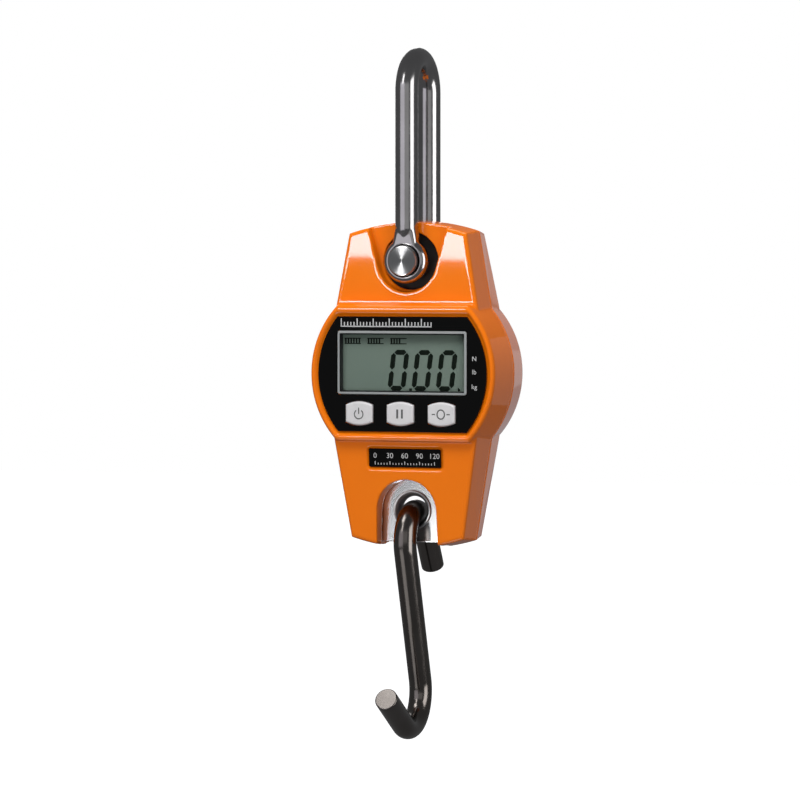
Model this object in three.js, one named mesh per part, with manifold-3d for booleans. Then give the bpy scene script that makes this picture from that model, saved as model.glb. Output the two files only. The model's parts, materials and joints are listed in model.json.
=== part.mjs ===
// Hand-held crane scale: a shackle, a cast housing with a display, and an S-hook.
// Millimetres, +Z up. The scale hangs from the inside of the shackle's bow, which is the
// origin. The display faces -Y and the cross pin lies along Y.
// Inside the helpers, heights are measured from the pin's axis.

import * as THREE from "three";
import { mergeVertices } from "three/addons/utils/BufferGeometryUtils.js";
import Module from "manifold-3d";

const wasm = await Module();
wasm.setup();

// ---------- driving dimensions ----------

const WIRE = 8.8; // diameter of the round bar of bow and hook
const GAP = 0.3; // between neighbouring pieces
const CROWN_TO_PIN = 72.9;
const PIN_TO_BARREL = 43;
const PIN_TO_HOOK_EYE = 95.5;

const LEG_SPACING = 25.6; // between the centres of the shackle's legs
const EYE_RADIUS = 8.7;
const EYE_THICKNESS = 7;
const PIN_RADIUS = 4;
const HEAD_RADIUS = 5.65;
const HEAD_PROUD = 2.5; // how far the pin's head stands out of the eye

const BARREL_RADIUS = 38.9; // at the parting plane
const BARREL_DEPTH = 18.8; // from the parting plane to either face
const FRONT_DRAFT = 1.7; // the barrel's radius shrinks this much to its front face
const REAR_DRAFT = 2.3;
const BOSS_TOP = 26.3; // flats that end the raised barrel face, from the barrel's centre
const BOSS_BOTTOM = -25.8;
const WALL = 2.2;
const BODY_TOP = 15.4; // highest point of the housing above the pin
const BODY_CORNER = 11.5;
const BODY_BOTTOM = -110.6;
const BODY_FOOT = -107;

const CELL_FRONT = -6;
const CELL_WIDTH = 26;
const LUG_THICKNESS = 6;
const HOOK_BEND = 11.6; // centreline radius of the hook's upper bend
const TIP_BEND = 13.2; // centreline radius of its lower bend

const PANEL_RADIUS = 34;
const PANEL_TOP = 21.8; // flats of the black panel, from the barrel's centre
const PANEL_BOTTOM = -22.1;
const BUTTON_TRAVEL = 0.8;
const BATTERY_RADIUS = 5.25;
const BATTERY_LENGTH = 44.5;

// ---------- materials ----------

const finish = (color, roughness, metalness, more = {}) =>
  new THREE.MeshStandardMaterial({ color, roughness, metalness, ...more });

const PAINT = finish(0xf58220, 0.28, 0.1);
const STEEL = finish(0x6a6a70, 0.22, 1);
const TURNED = finish(0xc9c9cc, 0.3, 1);
const ALUMINIUM = finish(0xd9d9dd, 0.38, 0.9);
const ZINC = finish(0xa9adb2, 0.4, 1);
const BLACK = finish(0x0b0b0d, 0.15, 0);
const DARK_PLASTIC = finish(0x1b1b1d, 0.5, 0);
const WHITE_PLASTIC = finish(0xf2f2f0, 0.4, 0);
const GREY_PLASTIC = finish(0xb9bdbd, 0.45, 0);
const LENS = finish(0xe8efe8, 0.05, 0, { transparent: true, opacity: 0.3 });
const LCD = finish(0x8f9a88, 0.3, 0);
const BOARD_GREEN = finish(0x1f6b3a, 0.5, 0);
const COPPER_LEAF = finish(0xc9a26a, 0.4, 0.6);
const BRASS_SPRING = finish(0xcdb06a, 0.3, 1);
const BATTERY_SLEEVE = finish(0x30343a, 0.35, 0.3);
const WIRE_SLEEVE = finish(0xb02a22, 0.5, 0);

// ---------- solids ----------

// A closed geometry as a manifold-3d solid.
function solid(geometry) {
  const bare = geometry.clone();
  bare.deleteAttribute("normal");
  bare.deleteAttribute("uv");
  const merged = mergeVertices(bare, 1e-4);
  const mesh = new wasm.Mesh({
    numProp: 3,
    vertProperties: new Float32Array(merged.attributes.position.array),
    triVerts: new Uint32Array(merged.index.array),
  });
  return new wasm.Manifold(mesh);
}

function geometryOf(shape) {
  const mesh = shape.getMesh();
  return new THREE.BufferGeometry()
    .setAttribute("position", new THREE.BufferAttribute(mesh.vertProperties, 3))
    .setIndex(new THREE.BufferAttribute(mesh.triVerts, 1));
}

const join = (...shapes) => shapes.reduce((whole, shape) => whole.add(shape));
const cut = (shape, ...tools) => tools.reduce((left, tool) => left.subtract(tool), shape);

function box(x0, x1, y0, y1, z0, z1) {
  const geometry = new THREE.BoxGeometry(x1 - x0, y1 - y0, z1 - z0);
  return solid(geometry.translate((x0 + x1) / 2, (y0 + y1) / 2, (z0 + z1) / 2));
}

// A round bar along Y.
function rod(radius, y0, y1, x = 0, z = 0, sides = 32) {
  const geometry = new THREE.CylinderGeometry(radius, radius, y1 - y0, sides);
  return solid(geometry.translate(x, (y0 + y1) / 2, z));
}

// A body of revolution about Y. The profile lists [radius, y] and starts and ends on the
// axis, or closes on itself.
function turned(profile, x = 0, z = 0, sides = 32) {
  const area = profile.reduce((sum, [r, y], i) => {
    const [nextR, nextY] = profile[(i + 1) % profile.length];
    return sum + r * nextY - nextR * y;
  }, 0);
  const ordered = area > 0 ? profile : [...profile].reverse();
  const onAxis = profile[0][0] === 0;
  const outline = onAxis ? ordered : [...ordered, ordered[0]];
  const points = outline.map(([r, y]) => new THREE.Vector2(r, y));
  return solid(new THREE.LatheGeometry(points, sides).translate(x, 0, z));
}

// A plate: an outline drawn in X and Z, filling y0 to y1. A bevel rounds both rims.
function plate(outline, y0, y1, bevel = 0, segments = 2, curveSegments = 3) {
  const geometry = new THREE.ExtrudeGeometry(outline, {
    depth: y1 - y0 - 2 * bevel,
    bevelEnabled: bevel > 0,
    bevelThickness: bevel,
    bevelSize: bevel,
    bevelOffset: -bevel,
    bevelSegments: segments,
    curveSegments,
  });
  return solid(geometry.rotateX(Math.PI / 2).translate(0, y1 - bevel, 0));
}

// A round wire along a path of points that a curve passes through.
function wire(curve, radius, sides, steps) {
  const section = new THREE.Shape().absarc(0, 0, radius, 0, 2 * Math.PI);
  return solid(
    new THREE.ExtrudeGeometry(section, {
      extrudePath: curve,
      curveSegments: sides / 2,
      steps,
    }),
  );
}

function roundedBox(halfWidth, z0, z1, radius, x = 0) {
  const shape = new THREE.Shape();
  shape.moveTo(x - halfWidth + radius, z0);
  shape.lineTo(x + halfWidth - radius, z0);
  shape.absarc(x + halfWidth - radius, z0 + radius, radius, -Math.PI / 2, 0);
  shape.absarc(x + halfWidth - radius, z1 - radius, radius, 0, Math.PI / 2);
  shape.absarc(x - halfWidth + radius, z1 - radius, radius, Math.PI / 2, Math.PI);
  shape.absarc(x - halfWidth + radius, z0 + radius, radius, Math.PI, 1.5 * Math.PI);
  shape.closePath();
  return shape;
}

const whole = new THREE.Group();
whole.position.z = -CROWN_TO_PIN;

// Adds a named piece.
function piece(name, material, shape) {
  const mesh = new THREE.Mesh(geometryOf(shape), material);
  mesh.name = name;
  whole.add(mesh);
}

// ---------- shackle ----------

const LEG_Y = LEG_SPACING / 2;
const EYE_OUTER_Y = LEG_Y + EYE_THICKNESS / 2;
const SPOT_DEPTH = 1; // the pin's head sits this deep in the front eye

// The forged eye at the foot of a leg, flaring out from the bar, pierced for the pin.
function eyeOutline() {
  const neckTop = 17;
  const half = WIRE / 2 - 0.4;
  const start = 0.62; // where the flare leaves the eye, in radians from straight up
  const side = EYE_RADIUS * Math.sin(start);
  const height = EYE_RADIUS * Math.cos(start);
  const outline = new THREE.Shape();
  outline.moveTo(-half, neckTop);
  outline.quadraticCurveTo(-half, height + 2.2, -side, height);
  outline.absarc(0, 0, EYE_RADIUS, Math.PI / 2 + start, Math.PI / 2 - start + 2 * Math.PI);
  outline.quadraticCurveTo(half, height + 2.2, half, neckTop);
  outline.closePath();
  return outline;
}

function shackleBow() {
  const shoulder = CROWN_TO_PIN + WIRE / 2 - LEG_Y;
  const bend = Array.from({ length: 25 }, (_, i) => {
    const angle = Math.PI - (Math.PI * i) / 24;
    return new THREE.Vector3(0, LEG_Y * Math.cos(angle), shoulder + LEG_Y * Math.sin(angle));
  });
  const foot = 11;
  const front = [foot, 30, 48].map((z) => new THREE.Vector3(0, -LEG_Y, z));
  const rear = [48, 30, foot].map((z) => new THREE.Vector3(0, LEG_Y, z));
  const points = [...front, ...bend, ...rear];
  const bar = wire(new THREE.CatmullRomCurve3(points, false, "centripetal"), WIRE / 2, 14, 32);
  const eyes = [-LEG_Y, LEG_Y].map((y) =>
    plate(eyeOutline(), y - EYE_THICKNESS / 2, y + EYE_THICKNESS / 2, 1.6, 2, 8),
  );
  return cut(
    join(bar, ...eyes),
    rod(PIN_RADIUS + GAP, -20, 20),
    rod(HEAD_RADIUS + 0.6, -20, -EYE_OUTER_Y + SPOT_DEPTH, 0, 0, 40),
  );
}

function shacklePin() {
  const headBack = -EYE_OUTER_Y + SPOT_DEPTH - GAP;
  const headFront = -EYE_OUTER_Y - HEAD_PROUD;
  const end = EYE_OUTER_Y + 6.2;
  return turned([
    [0, headFront],
    [HEAD_RADIUS - 0.4, headFront],
    [HEAD_RADIUS, headFront + 0.4],
    [HEAD_RADIUS, headBack],
    [PIN_RADIUS, headBack],
    [PIN_RADIUS, end - 0.8],
    [PIN_RADIUS - 0.8, end],
    [0, end],
  ]);
}

function hexNut(acrossFlats, bore, y0, y1) {
  const corner = acrossFlats / Math.sqrt(3);
  const rim = corner - 0.9;
  const blank = rod(corner, y0, y1, 0, 0, 6);
  const rounded = turned(
    [
      [0, y0],
      [corner, y0],
      [corner, y1 - 0.6],
      [rim, y1],
      [0, y1],
    ],
    0,
    0,
    36,
  );
  return blank.intersect(rounded).subtract(rod(bore, y0 - 1, y1 + 1));
}

function ring(inner, outer, y0, y1, x = 0, z = 0) {
  return turned(
    [
      [inner, y0],
      [outer, y0],
      [outer, y1],
      [inner, y1],
    ],
    x,
    z,
    24,
  );
}

piece("shackle_bow", STEEL, shackleBow());
piece("shackle_pin", TURNED, shacklePin());
piece("pin_nut", ZINC, hexNut(13, PIN_RADIUS + 0.15, EYE_OUTER_Y + GAP, EYE_OUTER_Y + 5));
const SPACER_INNER_Y = -CELL_FRONT + GAP;
const SPACER_OUTER_Y = EYE_OUTER_Y - EYE_THICKNESS - GAP;
piece("front_spacer", DARK_PLASTIC, ring(PIN_RADIUS + GAP, 7, -SPACER_OUTER_Y, -SPACER_INNER_Y));
piece("rear_spacer", DARK_PLASTIC, ring(PIN_RADIUS + GAP, 7, SPACER_INNER_Y, SPACER_OUTER_Y));

// ---------- hook and its eyelet ----------

const LUG_REAR = CELL_FRONT + LUG_THICKNESS;
const LUG_Y = (CELL_FRONT + LUG_REAR) / 2;
const EYELET_BORE = 5.2;
const EYELET_MOUTH = 6.9;
const EYELET_FLANGE = 7.4;
const EYELET_NECK = 6.3;
const FLANGE_PROUD = 0.8;
const BEND_Z = -PIN_TO_HOOK_EYE - EYELET_BORE + GAP + WIRE / 2 - HOOK_BEND;

// A ring with a bell mouth to both sides, swaged over the lug's two faces.
function hookEyelet() {
  const reach = LUG_THICKNESS / 2 + FLANGE_PROUD;
  const flare = EYELET_MOUTH - EYELET_BORE;
  const mouth = (reach * reach + flare * flare) / (2 * flare); // radius of the mouth's curve
  const bore = Array.from({ length: 7 }, (_, i) => {
    const y = reach - (2 * reach * i) / 6;
    return [EYELET_BORE + mouth - Math.sqrt(mouth * mouth - y * y), LUG_Y + y];
  });
  const lip = LUG_THICKNESS / 2 + GAP / 2;
  const outside = [
    [EYELET_FLANGE, LUG_Y - reach],
    [EYELET_FLANGE + 0.2, LUG_Y - reach + 0.2],
    [EYELET_FLANGE + 0.2, LUG_Y - lip],
    [EYELET_NECK, LUG_Y - lip],
    [EYELET_NECK, LUG_Y + lip],
    [EYELET_FLANGE + 0.2, LUG_Y + lip],
    [EYELET_FLANGE + 0.2, LUG_Y + reach - 0.2],
    [EYELET_FLANGE, LUG_Y + reach],
  ];
  return turned([...bore, ...outside], 0, -PIN_TO_HOOK_EYE);
}

// The hook lies in the plane X = 0. Angles are seen from +X, from +Y towards +Z.
const SHANK_LEAN = THREE.MathUtils.degToRad(18.2); // off the vertical, running back as it falls
const REAR_LEAN = THREE.MathUtils.degToRad(31);
const TIP_RISE = THREE.MathUtils.degToRad(32);
const REAR_LEG = 20;
const SHANK = 52.9;
const TIP = 22;

const alongHook = (angle, length) =>
  new THREE.Vector3(0, length * Math.cos(angle), length * Math.sin(angle));

// Points of a bend about a centre, between two angles, both ends included.
function bendPoints(centre, radius, from, to, count) {
  return Array.from({ length: count + 1 }, (_, i) =>
    alongHook(from + ((to - from) * i) / count, radius).add(centre),
  );
}

function straightPoints(from, to, count) {
  return Array.from({ length: count - 1 }, (_, i) => from.clone().lerp(to, (i + 1) / count));
}

function sHook() {
  const upper = new THREE.Vector3(0, LUG_Y, BEND_Z);
  const top = bendPoints(upper, HOOK_BEND, REAR_LEAN, Math.PI + SHANK_LEAN, 20);
  const rearEnd = top[0].clone().add(alongHook(REAR_LEAN - Math.PI / 2, REAR_LEG));
  const shankTop = top[top.length - 1];
  const shankFoot = shankTop.clone().add(alongHook(SHANK_LEAN - Math.PI / 2, SHANK));
  const lower = shankFoot.clone().sub(alongHook(SHANK_LEAN, TIP_BEND));
  const foot = bendPoints(lower, TIP_BEND, SHANK_LEAN, -Math.PI / 2 - TIP_RISE, 18);
  const tipEnd = foot[foot.length - 1].clone().add(alongHook(Math.PI - TIP_RISE, TIP));
  const route = new THREE.CatmullRomCurve3(
    [
      rearEnd,
      ...straightPoints(rearEnd, top[0], 3),
      ...top,
      ...straightPoints(shankTop, shankFoot, 6),
      ...foot,
      ...straightPoints(foot[foot.length - 1], tipEnd, 3),
      tipEnd,
    ],
    false,
    "centripetal",
  );
  return wire(route, WIRE / 2, 14, 48);
}

piece("hook_eyelet", TURNED, hookEyelet());
piece("s_hook", STEEL, sHook());

// ---------- housing ----------

const BARREL_Z = -PIN_TO_BARREL;
const EYE_Z = -PIN_TO_HOOK_EYE;
const POCKET_RADIUS = 12; // pocket for the shackle's eye, about the pin
const POCKET_MOUTH = 15.6; // half its width where it leaves the top
const POCKET_FLOOR_Y = 8; // from the parting plane
const FLOOR_HOLE = 11;
const INNER_FLOOR_Y = 6.4; // inside face of pocket floors and arch walls
const ARCH_RADIUS = 12;
const RIB = 1.6; // wall round the pockets and arches
const SLAB = { front: 17, rear: 15 }; // rough depth that the sloping faces are cut from

// Outline of the housing behind the barrel, from the top arc down to the foot.
function bodyOutline(inset) {
  const top = 24.8 - inset;
  const middle = 30 - inset;
  const foot = 23.8 - inset;
  const upper = BARREL_Z + 24;
  const lower = BARREL_Z - 24;
  const outline = new THREE.Shape();
  outline.moveTo(-foot, BODY_FOOT + inset);
  outline.quadraticCurveTo(0, 2 * BODY_BOTTOM - BODY_FOOT + inset, foot, BODY_FOOT + inset);
  outline.lineTo(middle, lower);
  outline.lineTo(middle, upper);
  outline.lineTo(top, BODY_CORNER - inset);
  outline.quadraticCurveTo(0, 2 * BODY_TOP - BODY_CORNER - inset, -top, BODY_CORNER - inset);
  outline.lineTo(-middle, upper);
  outline.lineTo(-middle, lower);
  outline.closePath();
  return outline;
}

// The pocket round the shackle's eye, open upwards. Growth widens it on every side.
function pocketOutline(growth) {
  const radius = POCKET_RADIUS + growth;
  const mouth = POCKET_MOUTH + growth;
  const height = BODY_TOP + 8;
  const lean = Math.acos(radius / Math.hypot(mouth, BODY_CORNER)) - Math.atan2(BODY_CORNER, mouth);
  const outline = new THREE.Shape();
  outline.absarc(0, 0, radius, Math.PI + lean, 2 * Math.PI - lean);
  outline.lineTo(mouth + (height - BODY_CORNER) * Math.tan(lean), height);
  outline.lineTo(-mouth - (height - BODY_CORNER) * Math.tan(lean), height);
  outline.closePath();
  return outline;
}

// The arch over the hook's eyelet, open downwards.
function archOutline(growth) {
  const radius = ARCH_RADIUS + growth;
  const splay = 0.5;
  const outline = new THREE.Shape();
  outline.moveTo(radius, EYE_Z);
  outline.absarc(0, EYE_Z, radius, 0, Math.PI);
  outline.lineTo(-radius - splay, BODY_BOTTOM - 6);
  outline.lineTo(radius + splay, BODY_BOTTOM - 6);
  outline.closePath();
  return outline;
}

// A half housing's slab with its two sloping faces, shrunk by a wall for its cavity.
// Side is -1 for the front half and 1 for the rear; depths lists the face's distance from
// the parting plane at the top, above the barrel, below it and at the foot.
function slab(side, depths, inset) {
  const [atTop, aboveBarrel, belowBarrel, atFoot] = depths.map((depth) => depth - inset);
  const rough = SLAB[side < 0 ? "front" : "rear"];
  const outline = bodyOutline(inset);
  const draft = 1;
  const drafted = new THREE.ExtrudeGeometry(outline, {
    depth: 0.02,
    bevelThickness: rough,
    bevelSize: draft,
    bevelOffset: -draft,
    bevelSegments: 1,
    curveSegments: 6,
  });
  const both = solid(drafted.rotateX(Math.PI / 2).translate(0, 0.01, 0));
  const half = both.intersect(side < 0 ? box(-60, 60, -30, 0, -140, 40) : box(-60, 60, 0, 30, -140, 40));
  const upper = BARREL_Z + BOSS_TOP;
  const lower = BARREL_Z + BOSS_BOTTOM;
  const profile = new THREE.Shape([
    new THREE.Vector2(0, 60),
    new THREE.Vector2(atTop, 60),
    new THREE.Vector2(atTop, BODY_CORNER),
    new THREE.Vector2(aboveBarrel, upper),
    new THREE.Vector2(aboveBarrel, BARREL_Z),
    new THREE.Vector2(belowBarrel, BARREL_Z),
    new THREE.Vector2(belowBarrel, lower),
    new THREE.Vector2(atFoot, BODY_FOOT),
    new THREE.Vector2(atFoot, -140),
    new THREE.Vector2(0, -140),
  ]);
  const keep = new THREE.ExtrudeGeometry(profile, { depth: 120, bevelEnabled: false });
  keep.translate(0, 0, -60).rotateX(Math.PI / 2);
  keep.rotateZ(side * (Math.PI / 2));
  return half.intersect(solid(keep));
}

// The round barrel of a half housing, with its raised face cut off above and below.
function barrel(side, draft, inset) {
  const face = BARREL_DEPTH - inset;
  const radius = BARREL_RADIUS - inset;
  const round = inset ? 0.4 : 1.6;
  const shrink = (draft * (face - round)) / BARREL_DEPTH;
  const edge = Array.from({ length: 3 }, (_, i) => {
    const angle = (Math.PI / 2) * (i / 2);
    const lip = radius - shrink - round + round * Math.cos(angle);
    return [lip, side * (face - round + round * Math.sin(angle))];
  });
  const blank = turned([[0, 0], [radius, 0], ...edge, [0, side * face]], 0, BARREL_Z, 64);
  const flats = box(-60, 60, -30, 30, BARREL_Z + BOSS_BOTTOM + inset, BARREL_Z + BOSS_TOP - inset);
  return blank.intersect(flats);
}

// Where things sit behind the barrel's faces, as heights from the barrel's centre.
const WINDOW_Z = 4.2; // centre of the display window
const WINDOW = { halfWidth: 26.1, halfHeight: 12.1 };
const BUTTON_Z = -15.2;
const BUTTON_PITCH = 16.6;
const LABEL_Z = BARREL_Z - 32.2;
const FRONT_DEPTHS = [12.3, 13.7, 15.6, 12.6];
const REAR_DEPTHS = [10, 13.5, 13.5, 10];
const FRONT_FACE_WALL = 3.2;
const REAR_FACE_WALL = 2.6;
const PANEL_FLOOR = -BARREL_DEPTH + 1.5;
const SHELL_SCREWS = [
  [-20, 4],
  [20, 4],
  [-18.2, EYE_Z - 3.5],
  [18.2, EYE_Z - 3.5],
];
const CELL_SCREWS = [BARREL_Z + 22.8, BARREL_Z - 30];
const BOARD_SCREW = { x: 26, z: -17 };
const BOARD = { halfWidth: 28.5, top: 19, bottom: -20, front: -10.7, thickness: 1.6 };
const TRAY = { halfWidth: 25.5, halfHeight: 18.2, floor: 4.6, rim: 16.6, wall: 1.2 };
const COVER = { halfWidth: 27.5, top: 20, bottom: -24.2, inner: 17.2, outer: 18.5, round: 2.7 };
const COVER_SCREW = { z: BARREL_Z - 21.3, head: 2.1, headHeight: 0.6, sink: 0.7 };
const SCREW_HEAD = 2.6;
const SCREW_SHANK = 1.3;
const HEAD_SEAT = 7.5; // the shell screws' heads rest this far behind the parting plane

// The panel's outline: a circle cut off above and below.
function panelOutline(growth) {
  const radius = PANEL_RADIUS + growth;
  const top = Math.asin((PANEL_TOP + growth) / radius);
  const bottom = Math.asin((PANEL_BOTTOM - growth) / radius);
  const outline = new THREE.Shape();
  outline.absarc(0, BARREL_Z, radius, bottom, top);
  outline.absarc(0, BARREL_Z, radius, Math.PI - top, Math.PI - bottom);
  outline.closePath();
  return outline;
}

// A key with straight sides and arched ends.
function buttonOutline(x, growth) {
  const half = 5.45 + growth;
  const side = 3.3 + growth;
  const peak = 4.6 + growth;
  const z = BARREL_Z + BUTTON_Z;
  const outline = new THREE.Shape();
  outline.moveTo(x - half, z - side);
  outline.quadraticCurveTo(x, z - 2 * peak + side, x + half, z - side);
  outline.lineTo(x + half, z + side);
  outline.quadraticCurveTo(x, z + 2 * peak - side, x - half, z + side);
  outline.closePath();
  return outline;
}

const windowOutline = (growth) =>
  roundedBox(
    WINDOW.halfWidth + growth,
    BARREL_Z + WINDOW_Z - WINDOW.halfHeight - growth,
    BARREL_Z + WINDOW_Z + WINDOW.halfHeight + growth,
    1,
  );

// A thin plate parallel to the sloping face below the barrel. It starts this far below the
// face and reaches outwards by its thickness.
const LABEL = { halfWidth: 14.55, halfHeight: 3.55, recess: 1 };
const LABEL_SLOPE = Math.atan2(FRONT_DEPTHS[2] - FRONT_DEPTHS[3], BARREL_Z + BOSS_BOTTOM - BODY_FOOT);
function labelPlate(growth, below, thickness) {
  const depth = FRONT_DEPTHS[2] - (BARREL_Z + BOSS_BOTTOM - LABEL_Z) * Math.tan(LABEL_SLOPE);
  const halfHeight = LABEL.halfHeight + growth;
  const outline = roundedBox(LABEL.halfWidth + growth, -halfHeight, halfHeight, 0.5);
  const geometry = new THREE.ExtrudeGeometry(outline, {
    depth: thickness,
    bevelEnabled: false,
    curveSegments: 4,
  });
  geometry.rotateX(Math.PI / 2 + LABEL_SLOPE);
  return solid(geometry.translate(0, below - depth, LABEL_Z));
}

// Either half housing: shell, pocket, arch and the room for the load cell's foot.
function halfHousing(side, draft, depths, faceWall, archInner) {
  const outer = join(slab(side, depths, 0), barrel(side, draft, 0));
  const inner = join(slab(side, depths, WALL), barrel(side, draft, WALL));
  const span = (near, far) => (side < 0 ? [-far, -near] : [near, far]);
  const ribs = join(
    plate(pocketOutline(RIB), ...span(INNER_FLOOR_Y, 30), 0, 1, 8),
    plate(archOutline(RIB), ...span(archInner, 30), 0, 1, 8),
  );
  const backing = box(-40, 40, ...span(BARREL_DEPTH - faceWall, 30), BARREL_Z - 24, BARREL_Z + 24);
  const posts = SHELL_SCREWS.map(([x, z]) => rod(3, ...span(0, 30), x, z, 20));
  const shell = join(outer.subtract(inner), outer.intersect(join(ribs, backing, ...posts)));
  const open = span(-1, 30);
  return cut(
    shell,
    plate(pocketOutline(0), ...span(POCKET_FLOOR_Y, 30), 0, 1, 8),
    rod(FLOOR_HOLE, ...open, 0, 0, 32),
    plate(archOutline(0), ...open, 0, 1, 8),
    box(-13.4, 13.4, ...span(-1, INNER_FLOOR_Y), BODY_BOTTOM - 2, EYE_Z),
    box(-60, 60, ...span(-1, GAP / 2), -140, 40),
  );
}

function buttonPlaces() {
  return [-1, 0, 1].map((i) => i * BUTTON_PITCH - 0.5);
}

function frontShell() {
  const blank = halfHousing(-1, FRONT_DRAFT, FRONT_DEPTHS, FRONT_FACE_WALL, INNER_FLOOR_Y);
  const wallBack = -BARREL_DEPTH + FRONT_FACE_WALL;
  const boardPosts = [-1, 1].map((side) =>
    rod(2.2, wallBack - 0.5, BOARD.front - GAP, side * BOARD_SCREW.x, BARREL_Z + BOARD_SCREW.z, 16),
  );
  const cellPosts = CELL_SCREWS.map((z) =>
    rod(3, z > BARREL_Z ? wallBack - 0.5 : -13.8, CELL_FRONT - GAP, 0, z, 20),
  );
  return cut(
    join(blank, ...boardPosts, ...cellPosts),
    plate(panelOutline(GAP), -30, PANEL_FLOOR, 0, 1, 14),
    plate(windowOutline(GAP), -30, wallBack + 1),
    ...buttonPlaces().map((x) => plate(buttonOutline(x, GAP), -30, wallBack + 1)),
    labelPlate(GAP, LABEL.recess, 3),
    ...SHELL_SCREWS.map(([x, z]) => rod(SCREW_SHANK + GAP, -9.5, 1, x, z, 16)),
    ...CELL_SCREWS.map((z) => rod(SCREW_SHANK + GAP, -10.5, 1, 0, z, 16)),
    ...[-1, 1].map((side) =>
      rod(1.3, -14.6, 1, side * BOARD_SCREW.x, BARREL_Z + BOARD_SCREW.z, 12),
    ),
  );
}

function rearShell() {
  const blank = halfHousing(1, REAR_DRAFT, REAR_DEPTHS, REAR_FACE_WALL, 0.4);
  const wallFront = BARREL_DEPTH - REAR_FACE_WALL;
  const rebate = roundedBox(
    COVER.halfWidth + GAP,
    BARREL_Z + COVER.bottom - GAP,
    BARREL_Z + COVER.top + GAP,
    3,
  );
  const hatch = roundedBox(
    TRAY.halfWidth + GAP,
    BARREL_Z - TRAY.halfHeight - GAP,
    BARREL_Z + TRAY.halfHeight + GAP,
    1,
  );
  const coverPost = rod(2.6, 9, wallFront + 0.5, 0, COVER_SCREW.z, 20);
  return cut(
    join(blank, coverPost),
    plate(rebate, COVER.inner - GAP, 30),
    plate(hatch, wallFront - 1, 30),
    rod(SCREW_SHANK + GAP, 11, 30, 0, COVER_SCREW.z, 16),
    ...SHELL_SCREWS.map(([x, z]) => rod(SCREW_SHANK + GAP, -1, 30, x, z, 16)),
    ...SHELL_SCREWS.map(([x, z]) => rod(SCREW_HEAD + GAP, HEAD_SEAT, 30, x, z, 20)),
  );
}

// A pan-head screw along Y with a cross slot. Its head is outermost at headEnd.
function screw(x, z, seat, headHeight, tip, head = SCREW_HEAD, shank = SCREW_SHANK) {
  const headEnd = seat + headHeight;
  const slotDepth = Math.min(0.7, 0.6 * headHeight);
  const blank = turned(
    [
      [0, tip],
      [shank, tip],
      [shank, seat],
      [head, seat],
      [head, seat + 0.4 * headHeight],
      [head - 0.5, headEnd],
      [0, headEnd],
    ],
    x,
    z,
    12,
  );
  const slot = (dx, dz) =>
    box(x - dx, x + dx, headEnd - slotDepth, headEnd + 1, z - dz, z + dz);
  return cut(blank, slot(head * 0.55, 0.3), slot(0.3, head * 0.55));
}

piece("front_shell", PAINT, frontShell());
piece("rear_shell", PAINT, rearShell());
SHELL_SCREWS.forEach(([x, z], i) =>
  piece(`shell_screw_${i + 1}`, ZINC, screw(x, z, HEAD_SEAT + GAP, 1.8, -9)),
);

// ---------- load cell ----------

const CELL_TOP = 12.5; // radius of its rounded top end, about the pin
const CELL_FOOT = EYE_Z - 12.3;
const CELL_BACK = 2; // rear face behind the barrel
const BOSS_FOOT = -14; // below this the cell is thinner at the rear
const LUG_TOP = -80; // below this it is as thin as the lug

function loadCell() {
  const half = CELL_WIDTH / 2;
  const outline = new THREE.Shape();
  outline.moveTo(-half, CELL_FOOT);
  outline.lineTo(half, CELL_FOOT);
  outline.lineTo(half, -2);
  outline.quadraticCurveTo(half, CELL_TOP - 4, 6, CELL_TOP - 1);
  outline.quadraticCurveTo(0, CELL_TOP + 1, -6, CELL_TOP - 1);
  outline.quadraticCurveTo(-half, CELL_TOP - 4, -half, -2);
  outline.closePath();
  const gaugeWindow = roundedBox(half - 3.6, BARREL_Z - 12, BARREL_Z + 12, 5);
  return cut(
    plate(outline, CELL_FRONT, -CELL_FRONT),
    box(-30, 30, CELL_BACK, 30, LUG_TOP - 0.1, BOSS_FOOT),
    box(-30, 30, LUG_REAR, 30, -140, LUG_TOP),
    plate(gaugeWindow, -20, 20),
    rod(PIN_RADIUS + GAP, -20, 20),
    rod(EYELET_NECK + 0.2, -20, 20, 0, EYE_Z, 36),
    ...CELL_SCREWS.map((z) => rod(SCREW_SHANK + GAP, -20, 20, 0, z, 16)),
  );
}

piece("load_cell", ALUMINIUM, loadCell());
CELL_SCREWS.forEach((z, i) =>
  piece(`cell_screw_${i + 1}`, ZINC, screw(0, z, CELL_BACK + GAP, 1.8, -10)),
);
const GAUGE_INNER = CELL_WIDTH / 2 + GAP;
const gauge = (side) => {
  const x = [side * GAUGE_INNER, side * (GAUGE_INNER + 0.4)].sort((a, b) => a - b);
  return box(...x, -4.5, 0.5, BARREL_Z - 5, BARREL_Z + 5);
};
piece("strain_gauge_left", COPPER_LEAF, gauge(-1));
piece("strain_gauge_right", COPPER_LEAF, gauge(1));

// ---------- display and keys ----------

function facePanel() {
  return cut(
    plate(panelOutline(0), PANEL_FLOOR - 1.1, PANEL_FLOOR - GAP, 0, 1, 14),
    plate(windowOutline(GAP), -30, 0),
    ...buttonPlaces().map((x) => plate(buttonOutline(x, GAP), -30, 0)),
  );
}

piece("face_panel", BLACK, facePanel());
piece(
  "lcd_bezel",
  GREY_PLASTIC,
  cut(plate(windowOutline(0), -18.55, -16), plate(windowOutline(-1.1), -30, 0)),
);
piece("display_window", LENS, plate(windowOutline(-1.4), -17.9, -17.2));
const behindWindow = (y0, y1) =>
  box(-26.5, 26.5, y0, y1, BARREL_Z + WINDOW_Z - 12.8, BARREL_Z + WINDOW_Z + 12.8);
piece("lcd_glass", LCD, behindWindow(-15.3, -13.6));
piece("backlight", WHITE_PLASTIC, behindWindow(-13.3, -11.2));

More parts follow.
